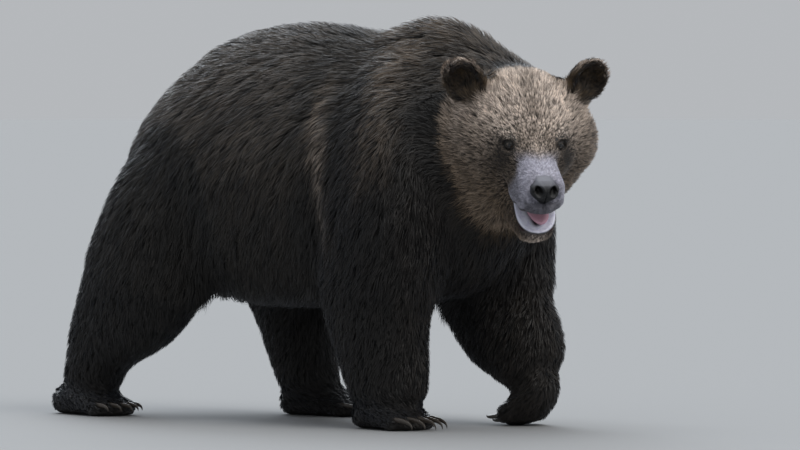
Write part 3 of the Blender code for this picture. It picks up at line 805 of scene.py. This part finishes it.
def markings(points, normals, weights):
    """Masks of the coat's colours at each vertex; the darkening mask carries painted shade as well as darker
    fur, and some pale marks carry painted highlight.
    """
    f, l, u = in_head(points)
    a = np.abs(l)
    head, jaw, ear, neck, trunk = (of_part(weights, part) for part in ("head", "jaw", "ear", "neck", "trunk"))
    legs, lower = of_part(weights, "upper"), of_part(weights, "lower", "foot")
    eye = np.full(len(points), 9.0)
    for s in (-1, 1):
        x, y, z = about_eye(points, s)
        eye = np.minimum(eye, np.sqrt((x / 1.25) ** 2 + (y / 0.78) ** 2 + 0.4 * z ** 2))
    under = np.sqrt(((f - 0.165) / 1.3) ** 2 + (a - 0.085) ** 2 + ((u + 0.030) / 1.4) ** 2)
    below = np.sqrt(((f - 0.205) / 1.25) ** 2 + (a - 0.078) ** 2 + ((u + 0.055) / 1.5) ** 2)
    patch = np.maximum(eased(eye, 0.032, 0.012), 0.80 * eased(under, 0.046, 0.008))
    patch = np.maximum(patch, 0.55 * eased(below, 0.046, 0.010))
    # Painted shade in the hollow between the eye and the muzzle's side: it darkens the hair there and thins
    # its grizzle.
    hollow = bell(f, 0.150, 0.052, a, 0.108, 0.042, u, -0.085, 0.060)
    face = np.clip(head + jaw, 0, 1)
    ahead = f - ruff_edge(u)
    ruff = eased(ahead, -0.018, 0.014)
    ruff = ruff * (1 - eased(a, 0.105, 0.130) * eased(u, 0.025, 0.055) * eased(f, 0.034, 0.004))
    flank = eased(a, 0.045, 0.064)
    rear = np.interp(u, (-0.14, -0.12, -0.08, -0.055, -0.04, -0.022, -0.01),
                     (0.185, 0.198, 0.224, 0.236, 0.228, 0.200, 0.190))
    bare = eased(f - (1 - flank) * (0.213 - 0.4 * a) - flank * rear, -0.024, 0.020)
    bare = head * bare * eased(u, 0.03, 0.005)
    bare = np.clip(bare + 0.25 * jaw * eased(f, 0.26, 0.29) * eased(u, -0.22, -0.20), 0, 1)
    # The bare muzzle darker on its sides, its lower part and under the nose pad: partly its own darker skin,
    # partly painted shade where it turns away from the light above.
    side = eased(a, 0.050, 0.066) * eased(u, -0.135, -0.085) + 0.25 * eased(u, -0.075, -0.10)
    under_nose = eased(u, -0.082, -0.098) * eased(f, 0.275, 0.295) * eased(a, 0.056, 0.040)
    side = side + 0.9 * under_nose
    seam = head * eased(a, 0.0060, 0.0030) * eased(f, 0.295, 0.305) * eased(u, -0.088, -0.096)
    crown = eased(u, -0.02, 0.06)
    grizzle = face * ruff * (0.38 + 0.62 * crown) * (1 - 0.66 * eased(u, -0.06, -0.17))
    base_of_ear = bell(f, -0.005, 0.040, a, 0.150, 0.036) * eased(u, 0.03, 0.07)
    grizzle = grizzle * (1 - 0.75 * base_of_ear) * (1 - 0.38 * bell(l, 0, 0.020) * eased(f, 0.13, 0.10))
    # Pale hair down the middle of the nose bridge, lightened further as a painted highlight along its top.
    grizzle = np.maximum(grizzle, 0.95 * face * bell(a, 0, 0.034) * eased(f, 0.130, 0.165))
    grizzle = grizzle * (1 - 0.92 * patch) * (1 - 0.60 * hollow)
    grizzle = grizzle * (1 - 0.25 * eased(a, 0.12, 0.17) * eased(u, 0.05, 0.0))
    high, along = points[:, 2], points[:, 1]
    flanked = np.maximum(trunk, np.maximum(legs, neck))
    behind = shoulder_line(points)
    # The ridge and the narrower crest: pale brown tips along the rear edge of the shoulder, partly real and
    # partly a painted highlight along that raised edge.
    ridge = bell(behind, -0.024, 0.036) * between(high, 0.42, 0.60, 0.88, 1.04)
    band = bell(along, -0.365, 0.060) * between(high, 0.62, 0.80, 0.98, 1.12)
    hump = trunk * eased(high, 0.98, 1.14) * eased(along, -0.10, -0.28)
    crest = bell(behind, -0.024, 0.016) * between(high, 0.50, 0.66, 0.86, 1.00)
    pale = grizzle + flanked * (0.14 * ridge + 0.16 * crest + 0.09 * band + 0.05 * hump)
    # Silver tips growing toward the top of the trunk: painted sheen of the light from above.
    pale = pale + 0.055 * trunk * eased(high, 0.55, 0.95) * eased(along, -0.10, 0.02)
    warm = 0.04 * trunk + 0.16 * neck + flanked * (0.22 * ridge + 0.36 * band + 0.26 * hump)
    warm = warm + 0.10 * eased(high, 0.75, 0.60) * eased(along, -0.40, -0.48)
    fringe = face * between(ahead, -0.02, 0.01, 0.03, 0.075) * eased(u, -0.10, -0.17)
    middle = head * bell(a, 0, 0.018) * eased(f, 0.04, 0.10)
    inner_brow = head * bell(a, 0.035, 0.018, f, 0.150, 0.025)
    warm = warm + face * ruff * (0.42 + 0.35 * eased(u, 0.0, -0.12)) + 0.6 * fringe
    warm = warm + 0.5 * (base_of_ear * face + inner_brow) + 0.3 * middle
    warm = np.clip(warm + 0.5 * ear, 0, 1)
    chin = jaw * eased(u, -0.205, -0.235)
    around = face * ruff * eased(ahead, 0.09, 0.02)
    warm = np.clip(warm + 1.0 * chin + 0.35 * around, 0, 1)
    pale = pale + 0.08 * fringe + 0.07 * neck * eased(high, 0.75, 0.90)
    # Painted shadow in the groove behind the face's ruff and on the neck just behind the head.
    groove = face * eased(ahead, 0.012, -0.018) + 0.8 * neck * eased(f, -0.14, -0.06)
    front = eased(along, -0.12, -0.24)
    # Darker legs and feet, and the body darker toward the bottom and in front: partly the bear's own dark
    # legs, partly painted shade on the lower body under the light from above.
    dark_and_shade = 0.75 * lower + flanked * eased(high, 0.90, 0.50) * (0.40 + 0.35 * front)
    dark_and_shade = dark_and_shade + 0.95 * patch * face + 0.70 * groove + 0.38 * hollow * face * (1 - bare)
    nape = neck * eased(high, 0.80, 0.92)
    dark_and_shade = dark_and_shade + flanked * 0.50 * front * eased(high, 1.02, 0.88) * (1 - 0.8 * nape)
    # Painted shade in the hollow behind the shoulder's raised edge, and in the fold of the neck.
    dark_and_shade = dark_and_shade + flanked * 0.35 * bell(behind, 0.034, 0.028) * eased(high, 1.0, 0.9)
    dark_and_shade = dark_and_shade + flanked * 0.30 * bell(along, -0.280, 0.032) * between(high, 0.62, 0.75, 0.98, 1.08)
    dark_and_shade = dark_and_shade + 0.52 * bare * np.clip(side, 0, 1) + 0.30 * bare * under_nose + 0.9 * seam
    for s in (-1, 1):
        x, y, z = in_ear(points, s)
        ring = np.hypot(x, z)
        one = ear * (l * s > 0.08)
        inside = one * eased(ring, 0.80, 0.66) * eased(y, -0.30, -0.05)
        rim = one * eased(ring, 0.70, 0.82)
        dark_and_shade = dark_and_shade + 0.70 * inside
        # Pale fuzz on the ear's rim, strongest toward its top, where it is partly a painted highlight.
        pale = pale * (1 - inside) + 0.90 * rim * eased(z, -0.25, 0.45)
        warm = np.clip(warm + 0.35 * rim, 0, 1)
    dark_and_shade, pale = np.clip(dark_and_shade, 0, 1), np.clip(pale, 0, 1)
    return {"pale": pale, "warm": warm, "dark_and_shade": dark_and_shade, "bare": bare, "mouth": mouth_lining(points, normals)}


# ---- coat


def corner_mix(values, triangles, shares):
    return np.einsum("nk,nk...->n...", shares, values[triangles])


def coat_values(points, normals, weights, depth):
    """Depth, spacing, blade width, clump size and clumping at each vertex."""
    f, l, u = in_head(points)
    head = of_part(weights, "head", "jaw")
    spacing, width, clump, pull = (coat_column(weights, column) for column in (1, 2, 3, 4))
    cheek = head * eased(f, 0.10, 0.0) * eased(u, 0.10, 0.0)
    spacing = spacing + cheek * 0.0010
    width = width + cheek * 0.0006
    clump = clump + cheek * 0.005
    snout = head * eased(f, 0.13, 0.19)
    spacing = spacing * (1 - snout) + 0.0036 * snout
    width = width * (1 - snout) + 0.0008 * snout
    pull = pull * (1 - snout) + 0.08 * snout
    length = 0.0040 + 2.15 * depth
    trunk = of_part(weights, "trunk", "upper")
    shag = trunk * eased(-normals[:, 2], 0.0, 0.6) * eased(points[:, 2], 0.72, 0.60)
    jowl = head * bell(f, 0.030, 0.055, u, -0.060, 0.085) * eased(np.abs(l), 0.13, 0.18)
    jowl = jowl * (0.3 + 0.7 * (l > 0))
    length = length * (1 + 0.40 * shag) + 0.010 * jowl
    depth = depth + 0.012 * shag + 0.009 * jowl
    return np.stack([depth, spacing, width, clump, pull, length], axis=1)


def sample_roots(points, triangles, density):
    """Triangle index and corner shares of evenly strewn roots."""
    a, b, c = (points[triangles[:, k]] for k in range(3))
    area = 0.5 * np.linalg.norm(np.cross(b - a, c - a), axis=1)
    total = np.cumsum(area * density)
    count = int(total[-1])
    places = (np.arange(count) + rng.random(count)) * total[-1] / count
    index = np.searchsorted(total, places)
    r = np.sqrt(rng.random(count))
    s = rng.random(count)
    return index, np.stack([1 - r, r * (1 - s), r * s], axis=1)


def lock_of(points, ways, others, most=7, slack=0.42):
    """For each tuft, the leader of the long lock that it joins: near across the lie, farther along it."""
    tree = point_tree(others)
    near = np.array([[found[1] for found in tree.find_n(p, most)] for p in points.tolist()])
    apart = others[near] - points[:, None]
    along = np.einsum("nkc,nc->nk", apart, ways)
    across = np.sum(apart ** 2, axis=2) - along ** 2
    score = across + (slack * along) ** 2
    return near[np.arange(len(points)), score.argmin(axis=1)]


def rooted_on_lids(root, normal, lids_tree):
    """Brings the roots under the lids up onto them, with their normals; True for the tufts near an eye."""
    by_eye = np.zeros(len(root), bool)
    for side in (-1, 1):
        x, y, z = about_eye(root, side)
        out = eye_axes(side)[1]
        for i in np.nonzero((np.hypot(x, y) < 0.0265) & (z > -0.02))[0]:
            place, facing = probed(lids_tree, Vector(root[i]), out)
            by_eye[i] = True
            if place and (place - Vector(root[i])).dot(out) > 0:
                root[i] = place
                normal[i] = facing if facing.dot(out) > 0 else -facing
    return by_eye


def bald_places(points, mouth):
    """1 where no tuft grows: in the mouth, under the nose pad, under the soles and on the eyeballs."""
    f, l, u = in_head(points)
    rise = (u - PAD_MIDDLE) / PAD_HALF_HEIGHT
    reach = pad_half(rise) - 0.004 + 0.002 * eased(rise, 0.1, -0.1) - 0.008 * eased(rise, 0.2, 0.6)
    under_pad = (f > 0.285) & (np.abs(l + PAD_SHIFT) < reach) | (f > 0.318)
    bald = np.maximum(mouth, under_pad & (np.abs(rise + 0.07) < 0.86))
    bald = np.maximum(bald, eased(points[:, 2], 0.012, 0.006))
    for side in (-1, 1):
        x, y, z = about_eye(points, side)
        bald = np.maximum(bald, (np.hypot(x / 0.0136, y / 0.0070) < 1) & (z > -0.02))
    return bald


def make_coat(skin, lids, weights, depth):
    """Roots, clumps and paths of all tufts, as a dict of arrays."""
    mesh = skin.data
    points, normals, ends = coordinates(mesh), normals_of(mesh), read_rows(mesh.edges, "vertices", 2)
    mesh.calc_loop_triangles()
    triangles = read_rows(mesh.loop_triangles, "vertices", 3)
    soft = unit(spread_out(normals, ends, 4))
    flow = lie_of_coat(points, soft, weights, ends)
    masks = markings(points, normals, weights)
    values = coat_values(points, normals, weights, depth)
    bald = bald_places(points, masks["mouth"])
    density = 1.0 / values[:, 1] ** 2 * (bald < 0.5)
    density = density[triangles].mean(axis=1) * (bald[triangles].max(axis=1) < 0.5)
    index, shares = sample_roots(points, triangles, density)
    corners = triangles[index]
    root = corner_mix(points, corners, shares)
    normal = unit(corner_mix(soft, corners, shares))
    by_eye = rooted_on_lids(root, normal, surface_tree(lids.data)[0])
    way = laid_along(corner_mix(flow, corners, shares), normal)
    value = corner_mix(values, corners, shares)
    part = weights[corners[:, 0]].argmax(axis=1)
    mask = {k: corner_mix(v, corners, shares) for k, v in masks.items()}
    count = len(root)
    high, spacing, width, clump, pull, length = value.T
    chosen = rng.random(count) < (spacing / clump) ** 2 * 0.55
    leaders = np.nonzero(chosen)[0]
    leader = leaders[lock_of(root, way, root[leaders])]
    swing = rng.normal(0, 0.17, count)
    rise = rng.normal(0, 1.0, count)
    beside = np.cross(way, normal)
    turned = unit(way + beside * (0.55 * swing[leader] + 0.45 * swing)[:, None])
    length = length * (1 + 0.10 * rise[leader]) * (0.85 + 0.3 * rng.random(count)) * (1 - 0.45 * by_eye)
    beside = unit(np.cross(way, normal))
    aside = np.sum((root - root[leader]) * beside, axis=1)
    edge = np.clip(np.abs(aside) / (0.6 * clump), 0, 1.2)
    high = high * np.clip(1.0 + 0.05 * rise[leader] - 0.20 * edge ** 2, 0.5, 1.08)
    ground = surface_tree(mesh, lids.data)[0]
    reach = root + turned * length[:, None]
    found = [ground.find_nearest(p)[:2] for p in reach.tolist()]
    landed, landed_normal = (np.array([one[k] for one in found], float) for k in (0, 1))
    turned_back = np.sum(landed_normal * normal, axis=1) < -0.2
    landed[turned_back] = reach[turned_back]
    landed_normal[turned_back] = normal[turned_back]
    end_normal = unit(0.5 * landed_normal + 0.5 * normal)
    return dict(root=root, normal=normal, end=landed, end_normal=end_normal, high=high, length=length,
                width=width, spacing=spacing, pull=pull, leader=leader, aside=aside, part=part, **mask,
                chance=rng.random(count), phase=rng.random(count))


STEPS = (0.0, 0.40, 0.76, 1.0)


def paths(tufts, step):
    """For the tufts at one step along them: places on the skin, their lifted middles and the normals."""
    lift = 1 - (1 - step) ** 1.7
    base = tufts["root"] * (1 - step) + tufts["end"] * step
    normal = unit(tufts["normal"] * (1 - step) + tufts["end_normal"] * step)
    return base, base + normal * (tufts["high"] * lift)[:, None], normal


def coat_piece(name, coat, pick):
    """One piece of the coat, as thin pointed blades, four to a tuft."""
    count = len(pick)
    tufts = {key: values[pick] for key, values in coat.items()}
    leader, length, spacing = tufts["leader"], tufts["length"], tufts["spacing"][:, None]
    along = unit(tufts["end"] - tufts["root"])
    beside = unit(np.cross(along, paths(tufts, 0.0)[2]))
    verts = np.empty((count, BLADES, 6, 3))
    steps = np.empty((count, BLADES, 6))
    wave = 2 * math.pi * (coat["phase"][leader] + 0.15 * tufts["phase"])
    for blade in range(BLADES):
        jitter = rng.uniform(-0.5, 0.5, (count, 2))
        longer = 1 + rng.uniform(-0.22, 0.16, count)[:, None]
        fan = rng.normal(0, 0.10, count)[:, None]
        higher = ((1.0, 0.90, 0.74, 0.52)[blade] + rng.uniform(-0.10, 0.06, count))[:, None]
        roll = rng.uniform(-0.75, 0.75, count)[:, None]
        offset = spacing * 1.1 * (beside * jitter[:, :1] + along * jitter[:, 1:])
        wide = tufts["width"][:, None] * (0.8 + 0.4 * rng.random(count))[:, None]
        middles = []
        for step in STEPS:
            base, own, own_normal = paths(tufts, step)
            pull = (tufts["pull"] * step ** 1.2 * tufts["aside"])[:, None]
            middle = own + (own - base) * (higher - 1) - beside * pull
            middle = middle + along * length[:, None] * (longer - 1) * step
            middle = middle + beside * length[:, None] * fan * step
            sway = np.sin(wave + 4.2 * step) * length * 0.045 * step
            middle = middle + offset * (1 - 0.45 * step) + beside * sway[:, None]
            middles.append((middle, own_normal))
        edge = [unit(np.cross(unit(middles[k + 1][0] - middles[k - 1][0]), middles[k][1])) for k in (1, 2)]
        tilt = [e * np.cos(roll) + middles[k + 1][1] * np.sin(roll) for k, e in enumerate(edge)]
        verts[:, blade, 0] = middles[0][0]
        verts[:, blade, 5] = middles[3][0]
        for k, half in enumerate((0.5, 0.36)):
            verts[:, blade, 1 + 2 * k] = middles[k + 1][0] - tilt[k] * wide * half
            verts[:, blade, 2 + 2 * k] = middles[k + 1][0] + tilt[k] * wide * half
        steps[:, blade] = (0, STEPS[1], STEPS[1], STEPS[2], STEPS[2], 1)
    flat = verts.reshape(-1, 3)
    flat[:, 2] = np.maximum(flat[:, 2], HAIR_CLEARANCE)
    pattern = np.array([(0, 2, 1), (1, 2, 4), (1, 4, 3), (3, 4, 5)])
    faces = (np.arange(count * BLADES)[:, None, None] * 6 + pattern).reshape(-1, 3)
    obj = mesh_object(name, flat, faces)
    mesh = obj.data
    set_attribute(mesh, "tip", steps.ravel())
    own = 0.6 if "head" in name else 0.3
    chance = (own * tufts["chance"] + (1 - own) * coat["chance"][leader])[:, None]
    chance = np.clip(0.72 * chance + 0.28 * rng.random((count, BLADES)), 0, 1)
    set_attribute(mesh, "chance", np.repeat(chance.ravel(), 6))
    for key in ("pale", "warm", "dark_and_shade", "bare"):
        set_attribute(mesh, key, np.repeat(tufts[key], BLADES * 6))
    lay_out(mesh, tufts["root"], steps)
    return obj


def lay_out(mesh, root, steps):
    """The map for baking: each tuft is a small patch at its root's place on a flattened skin."""
    centre = root.mean(axis=0)
    own = (root - centre) @ np.linalg.eigh(np.cov((root - centre).T))[1]
    places = np.empty((len(root), 2))
    for k, key in enumerate((own[:, 2], np.arctan2(own[:, 0], own[:, 1]))):
        places[np.argsort(key, kind="stable"), k] = (np.arange(len(root)) + 0.5) / len(root)
    places = 0.004 + 0.992 * places
    sideways = np.array([0.5, 0.0, 1.0, 0.0, 1.0, 0.5])
    columns = (np.arange(BLADES)[:, None] + sideways[None, :]) / BLADES
    u = places[:, 0][:, None, None] + (columns[None] - 0.5) * 0.003
    v = places[:, 1][:, None, None] + (steps - 0.5) * 0.003
    at_vertex = np.stack([u, v], axis=-1).reshape(-1, 2)
    corner = np.empty(len(mesh.loops), np.int32)
    mesh.loops.foreach_get("vertex_index", corner)
    layer = mesh.uv_layers.new(name="OFBake")
    layer.data.foreach_set("uv", at_vertex[corner].astype(np.float32).ravel())


def coat_pieces(coat):
    """The coat parted by the body's regions, each split into pieces of at most MOST_TUFTS tufts."""
    names = np.array(FLESH)[coat["part"]]
    x, y = coat["root"].T[:2]
    regions = {
        "coat_head": np.isin(names, ["head", "jaw", "ear_left", "ear_right"]),
        "coat_neck": names == "neck",
        "coat_trunk": np.isin(names, ["trunk", "tail"]),
        "coat_fore_legs": np.char.startswith(names, "fore"),
        "coat_hind_legs": np.char.startswith(names, "hind"),
    }
    made = []
    for name, inside in regions.items():
        pick = np.nonzero(inside)[0]
        parts = max(1, math.ceil(len(pick) / MOST_TUFTS))
        key = x[pick] if "legs" in name else y[pick]
        order = pick[np.argsort(key, kind="stable")]
        for number, share in enumerate(np.array_split(order, parts)):
            made.append(coat_piece(f"{name}_{number + 1}", coat, np.sort(share)))
    return made


# ---- materials


def node(tree, kind, **settings):
    made = tree.nodes.new(kind)
    for key, value in settings.items():
        setattr(made, key, value)
    return made


def fed(tree, made, inputs):
    """A node with its inputs fed from other sockets, or set to numbers and colours."""
    for key, value in inputs.items():
        if hasattr(value, "links"):
            tree.links.new(value, made.inputs[key])
        else:
            made.inputs[key].default_value = (*value, 1.0) if isinstance(value, tuple) else value
    return made


def mixed(tree, share, first, second):
    mix = node(tree, "ShaderNodeMix", data_type="RGBA")
    return fed(tree, mix, {0: share, 6: first, 7: second}).outputs[2]


def measured(tree, name):
    return node(tree, "ShaderNodeAttribute", attribute_name=name).outputs["Fac"]


def ranged(tree, value, low, high, first=0.0, last=1.0):
    made = node(tree, "ShaderNodeMapRange", interpolation_type="SMOOTHSTEP")
    limits = {"From Min": low, "From Max": high, "To Min": first, "To Max": last}
    return fed(tree, made, {"Value": value, **limits}).outputs["Result"]


def product(tree, a, b):
    return fed(tree, node(tree, "ShaderNodeMath", operation="MULTIPLY"), {0: a, 1: b}).outputs[0]


COAT_TINTS = {
    "Dark": (0.0170, 0.0150, 0.0125),
    "Brown": (0.048, 0.034, 0.023),
    "Golden": (0.240, 0.148, 0.062),
    "Silver": (0.720, 0.600, 0.510),
    "Muzzle": (0.420, 0.410, 0.480),
}


def coat_colour_group():
    """The markings of the bear, with the painted shade and highlight that they carry, shared by skin and
    coat.
    """
    group = bpy.data.node_groups.new("coat_markings", "ShaderNodeTree")
    for key in COAT_TINTS:
        group.interface.new_socket(key, in_out="INPUT", socket_type="NodeSocketColor")
    group.interface.new_socket("Colour", in_out="OUTPUT", socket_type="NodeSocketColor")
    given = node(group, "NodeGroupInput").outputs
    tip, chance, pale, warm, dark_and_shade, bare = (
        measured(group, name) for name in ("tip", "chance", "pale", "warm", "dark_and_shade", "bare"))
    base = mixed(group, warm, given["Dark"], given["Brown"])
    toward_tip = ranged(group, tip, 0.35, 0.95)
    golden = product(group, product(group, warm, toward_tip), 0.55)
    base = mixed(group, golden, base, given["Golden"])
    often = ranged(group, chance, 0.05, 0.65, 0.35, 1.0)
    silver = product(group, product(group, pale, ranged(group, tip, 0.24, 0.72)), often)
    base = mixed(group, silver, base, given["Silver"])
    base = mixed(group, bare, base, given["Muzzle"])
    # The darkening mask pulls toward near black: darker fur, and painted shade on the lower body and in
    # creases and hollows.
    toward_black = product(group, dark_and_shade, 0.78)
    base = mixed(group, toward_black, base, (0.006, 0.005, 0.005))
    shade = ranged(group, tip, 0.0, 0.8, 0.66, 1.0)
    lively = ranged(group, chance, 0.1, 0.9, 0.62, 1.42)
    scale = node(group, "ShaderNodeVectorMath", operation="SCALE")
    fed(group, scale, {0: base, "Scale": product(group, shade, lively)})
    fed(group, node(group, "NodeGroupOutput"), {"Colour": scale.outputs[0]})
    return group


def plain_material(name, colour=(0.5, 0.5, 0.5), rough=0.5, specular=0.5):
    made = bpy.data.materials.new(name)
    made.use_nodes = True
    shader = made.node_tree.nodes["Principled BSDF"]
    fed(made.node_tree, shader, {"Base Color": colour, "Roughness": rough, "Specular IOR Level": specular})
    return made, made.node_tree, shader


def marked(tree, group):
    return fed(tree, node(tree, "ShaderNodeGroup", node_tree=group), COAT_TINTS).outputs["Colour"]


def patterned(tree, kind, inputs, **settings):
    """A texture laid by place."""
    place = node(tree, "ShaderNodeNewGeometry").outputs["Position"]
    return fed(tree, node(tree, kind, **settings), {"Vector": place, **inputs})


def bumped(tree, height, strength, distance):
    bump = node(tree, "ShaderNodeBump")
    return fed(tree, bump, {"Strength": strength, "Distance": distance, "Height": height}).outputs["Normal"]


def fur_material(group):
    made, tree, shader = plain_material("brown bear hair", rough=0.50, specular=0.30)
    sheen = {"Sheen Weight": 0.18, "Sheen Roughness": 0.40, "Sheen Tint": (0.72, 0.82, 1.0)}
    fed(tree, shader, {"Base Color": marked(tree, group), **sheen})
    return made


def skin_material(group):
    made, tree, shader = plain_material("bear skin", rough=0.62, specular=0.35)
    fine = patterned(tree, "ShaderNodeTexNoise", {"Scale": 420.0, "Detail": 3.0}).outputs["Fac"]
    # Inside the open mouth the skin is a dark red-brown: the lining's flesh colour darkened as painted shade
    # in the mouth.
    tint = mixed(tree, measured(tree, "mouth"), marked(tree, group), (0.030, 0.012, 0.013))
    fed(tree, shader, {"Base Color": tint, "Normal": bumped(tree, fine, 0.35, 0.0012)})
    return made


def leather_material():
    made, tree, shader = plain_material("nose leather", (0.020, 0.021, 0.024), 0.48, 0.32)
    cells = patterned(tree, "ShaderNodeTexVoronoi", {"Scale": 620.0}, feature="DISTANCE_TO_EDGE")
    # The brim lightens to a bluish grey: the pad's edge meeting the muzzle, and a painted highlight on its
    # top.
    tint = mixed(tree, measured(tree, "brim_and_highlight"), (0.0065, 0.007, 0.008), (0.130, 0.132, 0.155))
    # Painted shade: the nostril wells near black.
    tint = mixed(tree, measured(tree, "hollow"), tint, (0.001, 0.001, 0.001))
    fed(tree, shader, {"Base Color": tint, "Normal": bumped(tree, cells.outputs["Distance"], 0.30, 0.0007)})
    return made


def eye_material():
    made, tree, shader = plain_material("dark eye", rough=0.12, specular=0.1)
    gaze = measured(tree, "gaze")
    # The iris is brown, lightened toward grey at its outer ring as a painted reflection of the sky on the
    # eye.
    iris = mixed(tree, ranged(tree, gaze, 0.74, 0.80), (0.11, 0.095, 0.085), (0.085, 0.062, 0.046))
    tint = mixed(tree, ranged(tree, gaze, 0.935, 0.955), iris, (0.002, 0.002, 0.002))
    fed(tree, shader, {"Base Color": tint, "Coat Weight": 1.0, "Coat Roughness": 0.04})
    return made


def lid_material():
    made, tree, shader = plain_material("eyelid skin", rough=0.5, specular=0.4)
    wet = measured(tree, "wet")
    tint = mixed(tree, wet, (0.030, 0.027, 0.024), (0.003, 0.003, 0.003))
    fed(tree, shader, {"Base Color": tint, "Roughness": ranged(tree, wet, 0.0, 1.0, 0.6, 0.22)})
    return made


def lip_material():
    made, tree, shader = plain_material("lip flesh", rough=0.30, specular=0.5)
    mottle = patterned(tree, "ShaderNodeTexNoise", {"Scale": 95.0, "Detail": 4.0}).outputs["Fac"]
    pale = mixed(tree, ranged(tree, mottle, 0.46, 0.66), (0.86, 0.86, 0.99), (0.71, 0.70, 0.87))
    tint = mixed(tree, measured(tree, "paleness"), (0.020, 0.018, 0.020), pale)
    fed(tree, shader, {"Base Color": tint, "Normal": bumped(tree, mottle, 0.30, 0.0015)})
    return made


# ---- studio


VIEW_TURN = math.radians(40)
VIEW_REACH = 17.0
VIEW_AIM = (0.006, 0.517, 0.95)
VIEW_ASIDE = 188 / 340
# The focal length, the width of the view and its drop from the level share a unit of their own.
VIEW_FOCAL, VIEW_WIDTH, VIEW_DROP = 5780.0, 800, 133
SENSOR_WIDTH = 36
FLOOR_REACH = 400


def aimed(obj, place, way):
    """Puts a camera or a light at a place, looking along a way."""
    obj.location = place
    obj.rotation_mode = "QUATERNION"
    obj.rotation_quaternion = way.to_track_quat("-Z", "Y")


def add_camera():
    """The camera stands off the bear's right shoulder, low and far, with a long lens."""
    towards = Vector((-math.cos(VIEW_TURN), -math.sin(VIEW_TURN), 0))
    across = Vector((math.sin(VIEW_TURN), -math.cos(VIEW_TURN), 0))
    camera = linked("camera", bpy.data.cameras.new("camera"))
    pitch = math.atan(VIEW_DROP / VIEW_FOCAL)
    look = -towards * math.cos(pitch) - Vector((0, 0, math.sin(pitch)))
    aimed(camera, Vector(VIEW_AIM) + towards * VIEW_REACH + across * VIEW_ASIDE, look)
    camera.data.lens = VIEW_FOCAL / VIEW_WIDTH * SENSOR_WIDTH
    camera.data.clip_end = 200
    bpy.context.scene.camera = camera


def add_light(name, place, power, softness, tint=(1, 1, 1)):
    """A broad distant light that shines from the place towards the bear."""
    light = bpy.data.lights.new(name, "SUN")
    light.energy = power
    light.angle = math.radians(softness)
    light.color = tint
    aimed(linked(name, light), place, -Vector(place))


def add_studio():
    corners = [(FLOOR_REACH * x, FLOOR_REACH * y, 0) for x, y in ((-1, -1), (1, -1), (1, 1), (-1, 1))]
    floor = mesh_object("floor", corners, [(0, 1, 2, 3)], smooth=False)
    floor.data.materials.append(plain_material("pale floor", (0.270, 0.274, 0.278), 0.9, 0.0)[0])
    world = bpy.data.worlds.new("studio air")
    world.use_nodes = True
    fed(world.node_tree, world.node_tree.nodes["Background"], {0: (0.93, 0.96, 1.0), 1: 0.50})
    bpy.context.scene.world = world
    add_light("sky", (0.8, 1.0, 5.0), 2.3, 60, (0.92, 0.96, 1.0))
    add_light("key", (-0.2, -4.0, 4.2), 1.3, 35, (1.0, 0.97, 0.93))
    add_light("back", (3.0, 3.6, 2.6), 2.2, 35, (0.86, 0.93, 1.0))


# ---- dressing


def dress():
    skin, weights, depth = make_skin()
    lids = open_sockets(skin)
    mesh = skin.data
    masks = markings(coordinates(mesh), normals_of(mesh), weights)
    for key, value in masks.items():
        set_attribute(mesh, key, value)
    count = len(mesh.vertices)
    # The skin takes low values on the hairs' root-to-tip scale, so it carries the roots' painted shade:
    # darkest under the plain coat, lighter under the bare muzzle and the pale hair.
    set_attribute(mesh, "tip", np.full(count, 0.20) + 0.20 * masks["bare"] + 0.22 * masks["pale"])
    set_attribute(mesh, "chance", np.full(count, 0.5))
    coat = make_coat(skin, lids, weights, depth)
    pieces = coat_pieces(coat)
    group = coat_colour_group()
    fur, hide = fur_material(group), skin_material(group)
    for piece in pieces:
        piece.data.materials.append(fur)
        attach(piece, "root")
    mesh.materials.clear()
    mesh.materials.append(hide)
    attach(skin, "root")
    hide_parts(*FLESH)
    glass = eye_material()
    horn, pink, dark = (plain_material(*values)[0] for values in (
        ("claw horn", (0.045, 0.036, 0.028), 0.36, 0.5),
        ("tongue flesh", (0.62, 0.34, 0.42), 0.34, 0.5),
        ("lip hem", (0.075, 0.073, 0.082), 0.5, 0.4)))
    small = [
        (lids, lid_material(), (), "grizzled_coat"),
        (eyeball("eyeball_left", 1), glass, ("eye_left",), "dark_eye"),
        (eyeball("eyeball_right", -1), glass, ("eye_right",), "dark_eye"),
        (nose_pad(), leather_material(), ("nose",), "nose_leather"),
        (lower_lip(), lip_material(), (), "grizzled_coat"),
        (upper_lip(skin), dark, (), "grizzled_coat"),
        (tongue(), pink, ("tongue",), "tongue_flesh"),
    ]
    for leg in LEGS:
        small.append((claws(leg), horn, tuple(f"claw_{leg}_{k}" for k in range(1, 6)), "claw_horn"))
    for piece, finish, nodes, slot in small:
        piece.data.materials.append(finish)
        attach(piece, "root")
        if nodes:
            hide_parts(*nodes)


dress()
add_studio()
add_camera()
bpy.context.scene.view_settings.view_transform = "Standard"
bpy.context.view_layer.update()
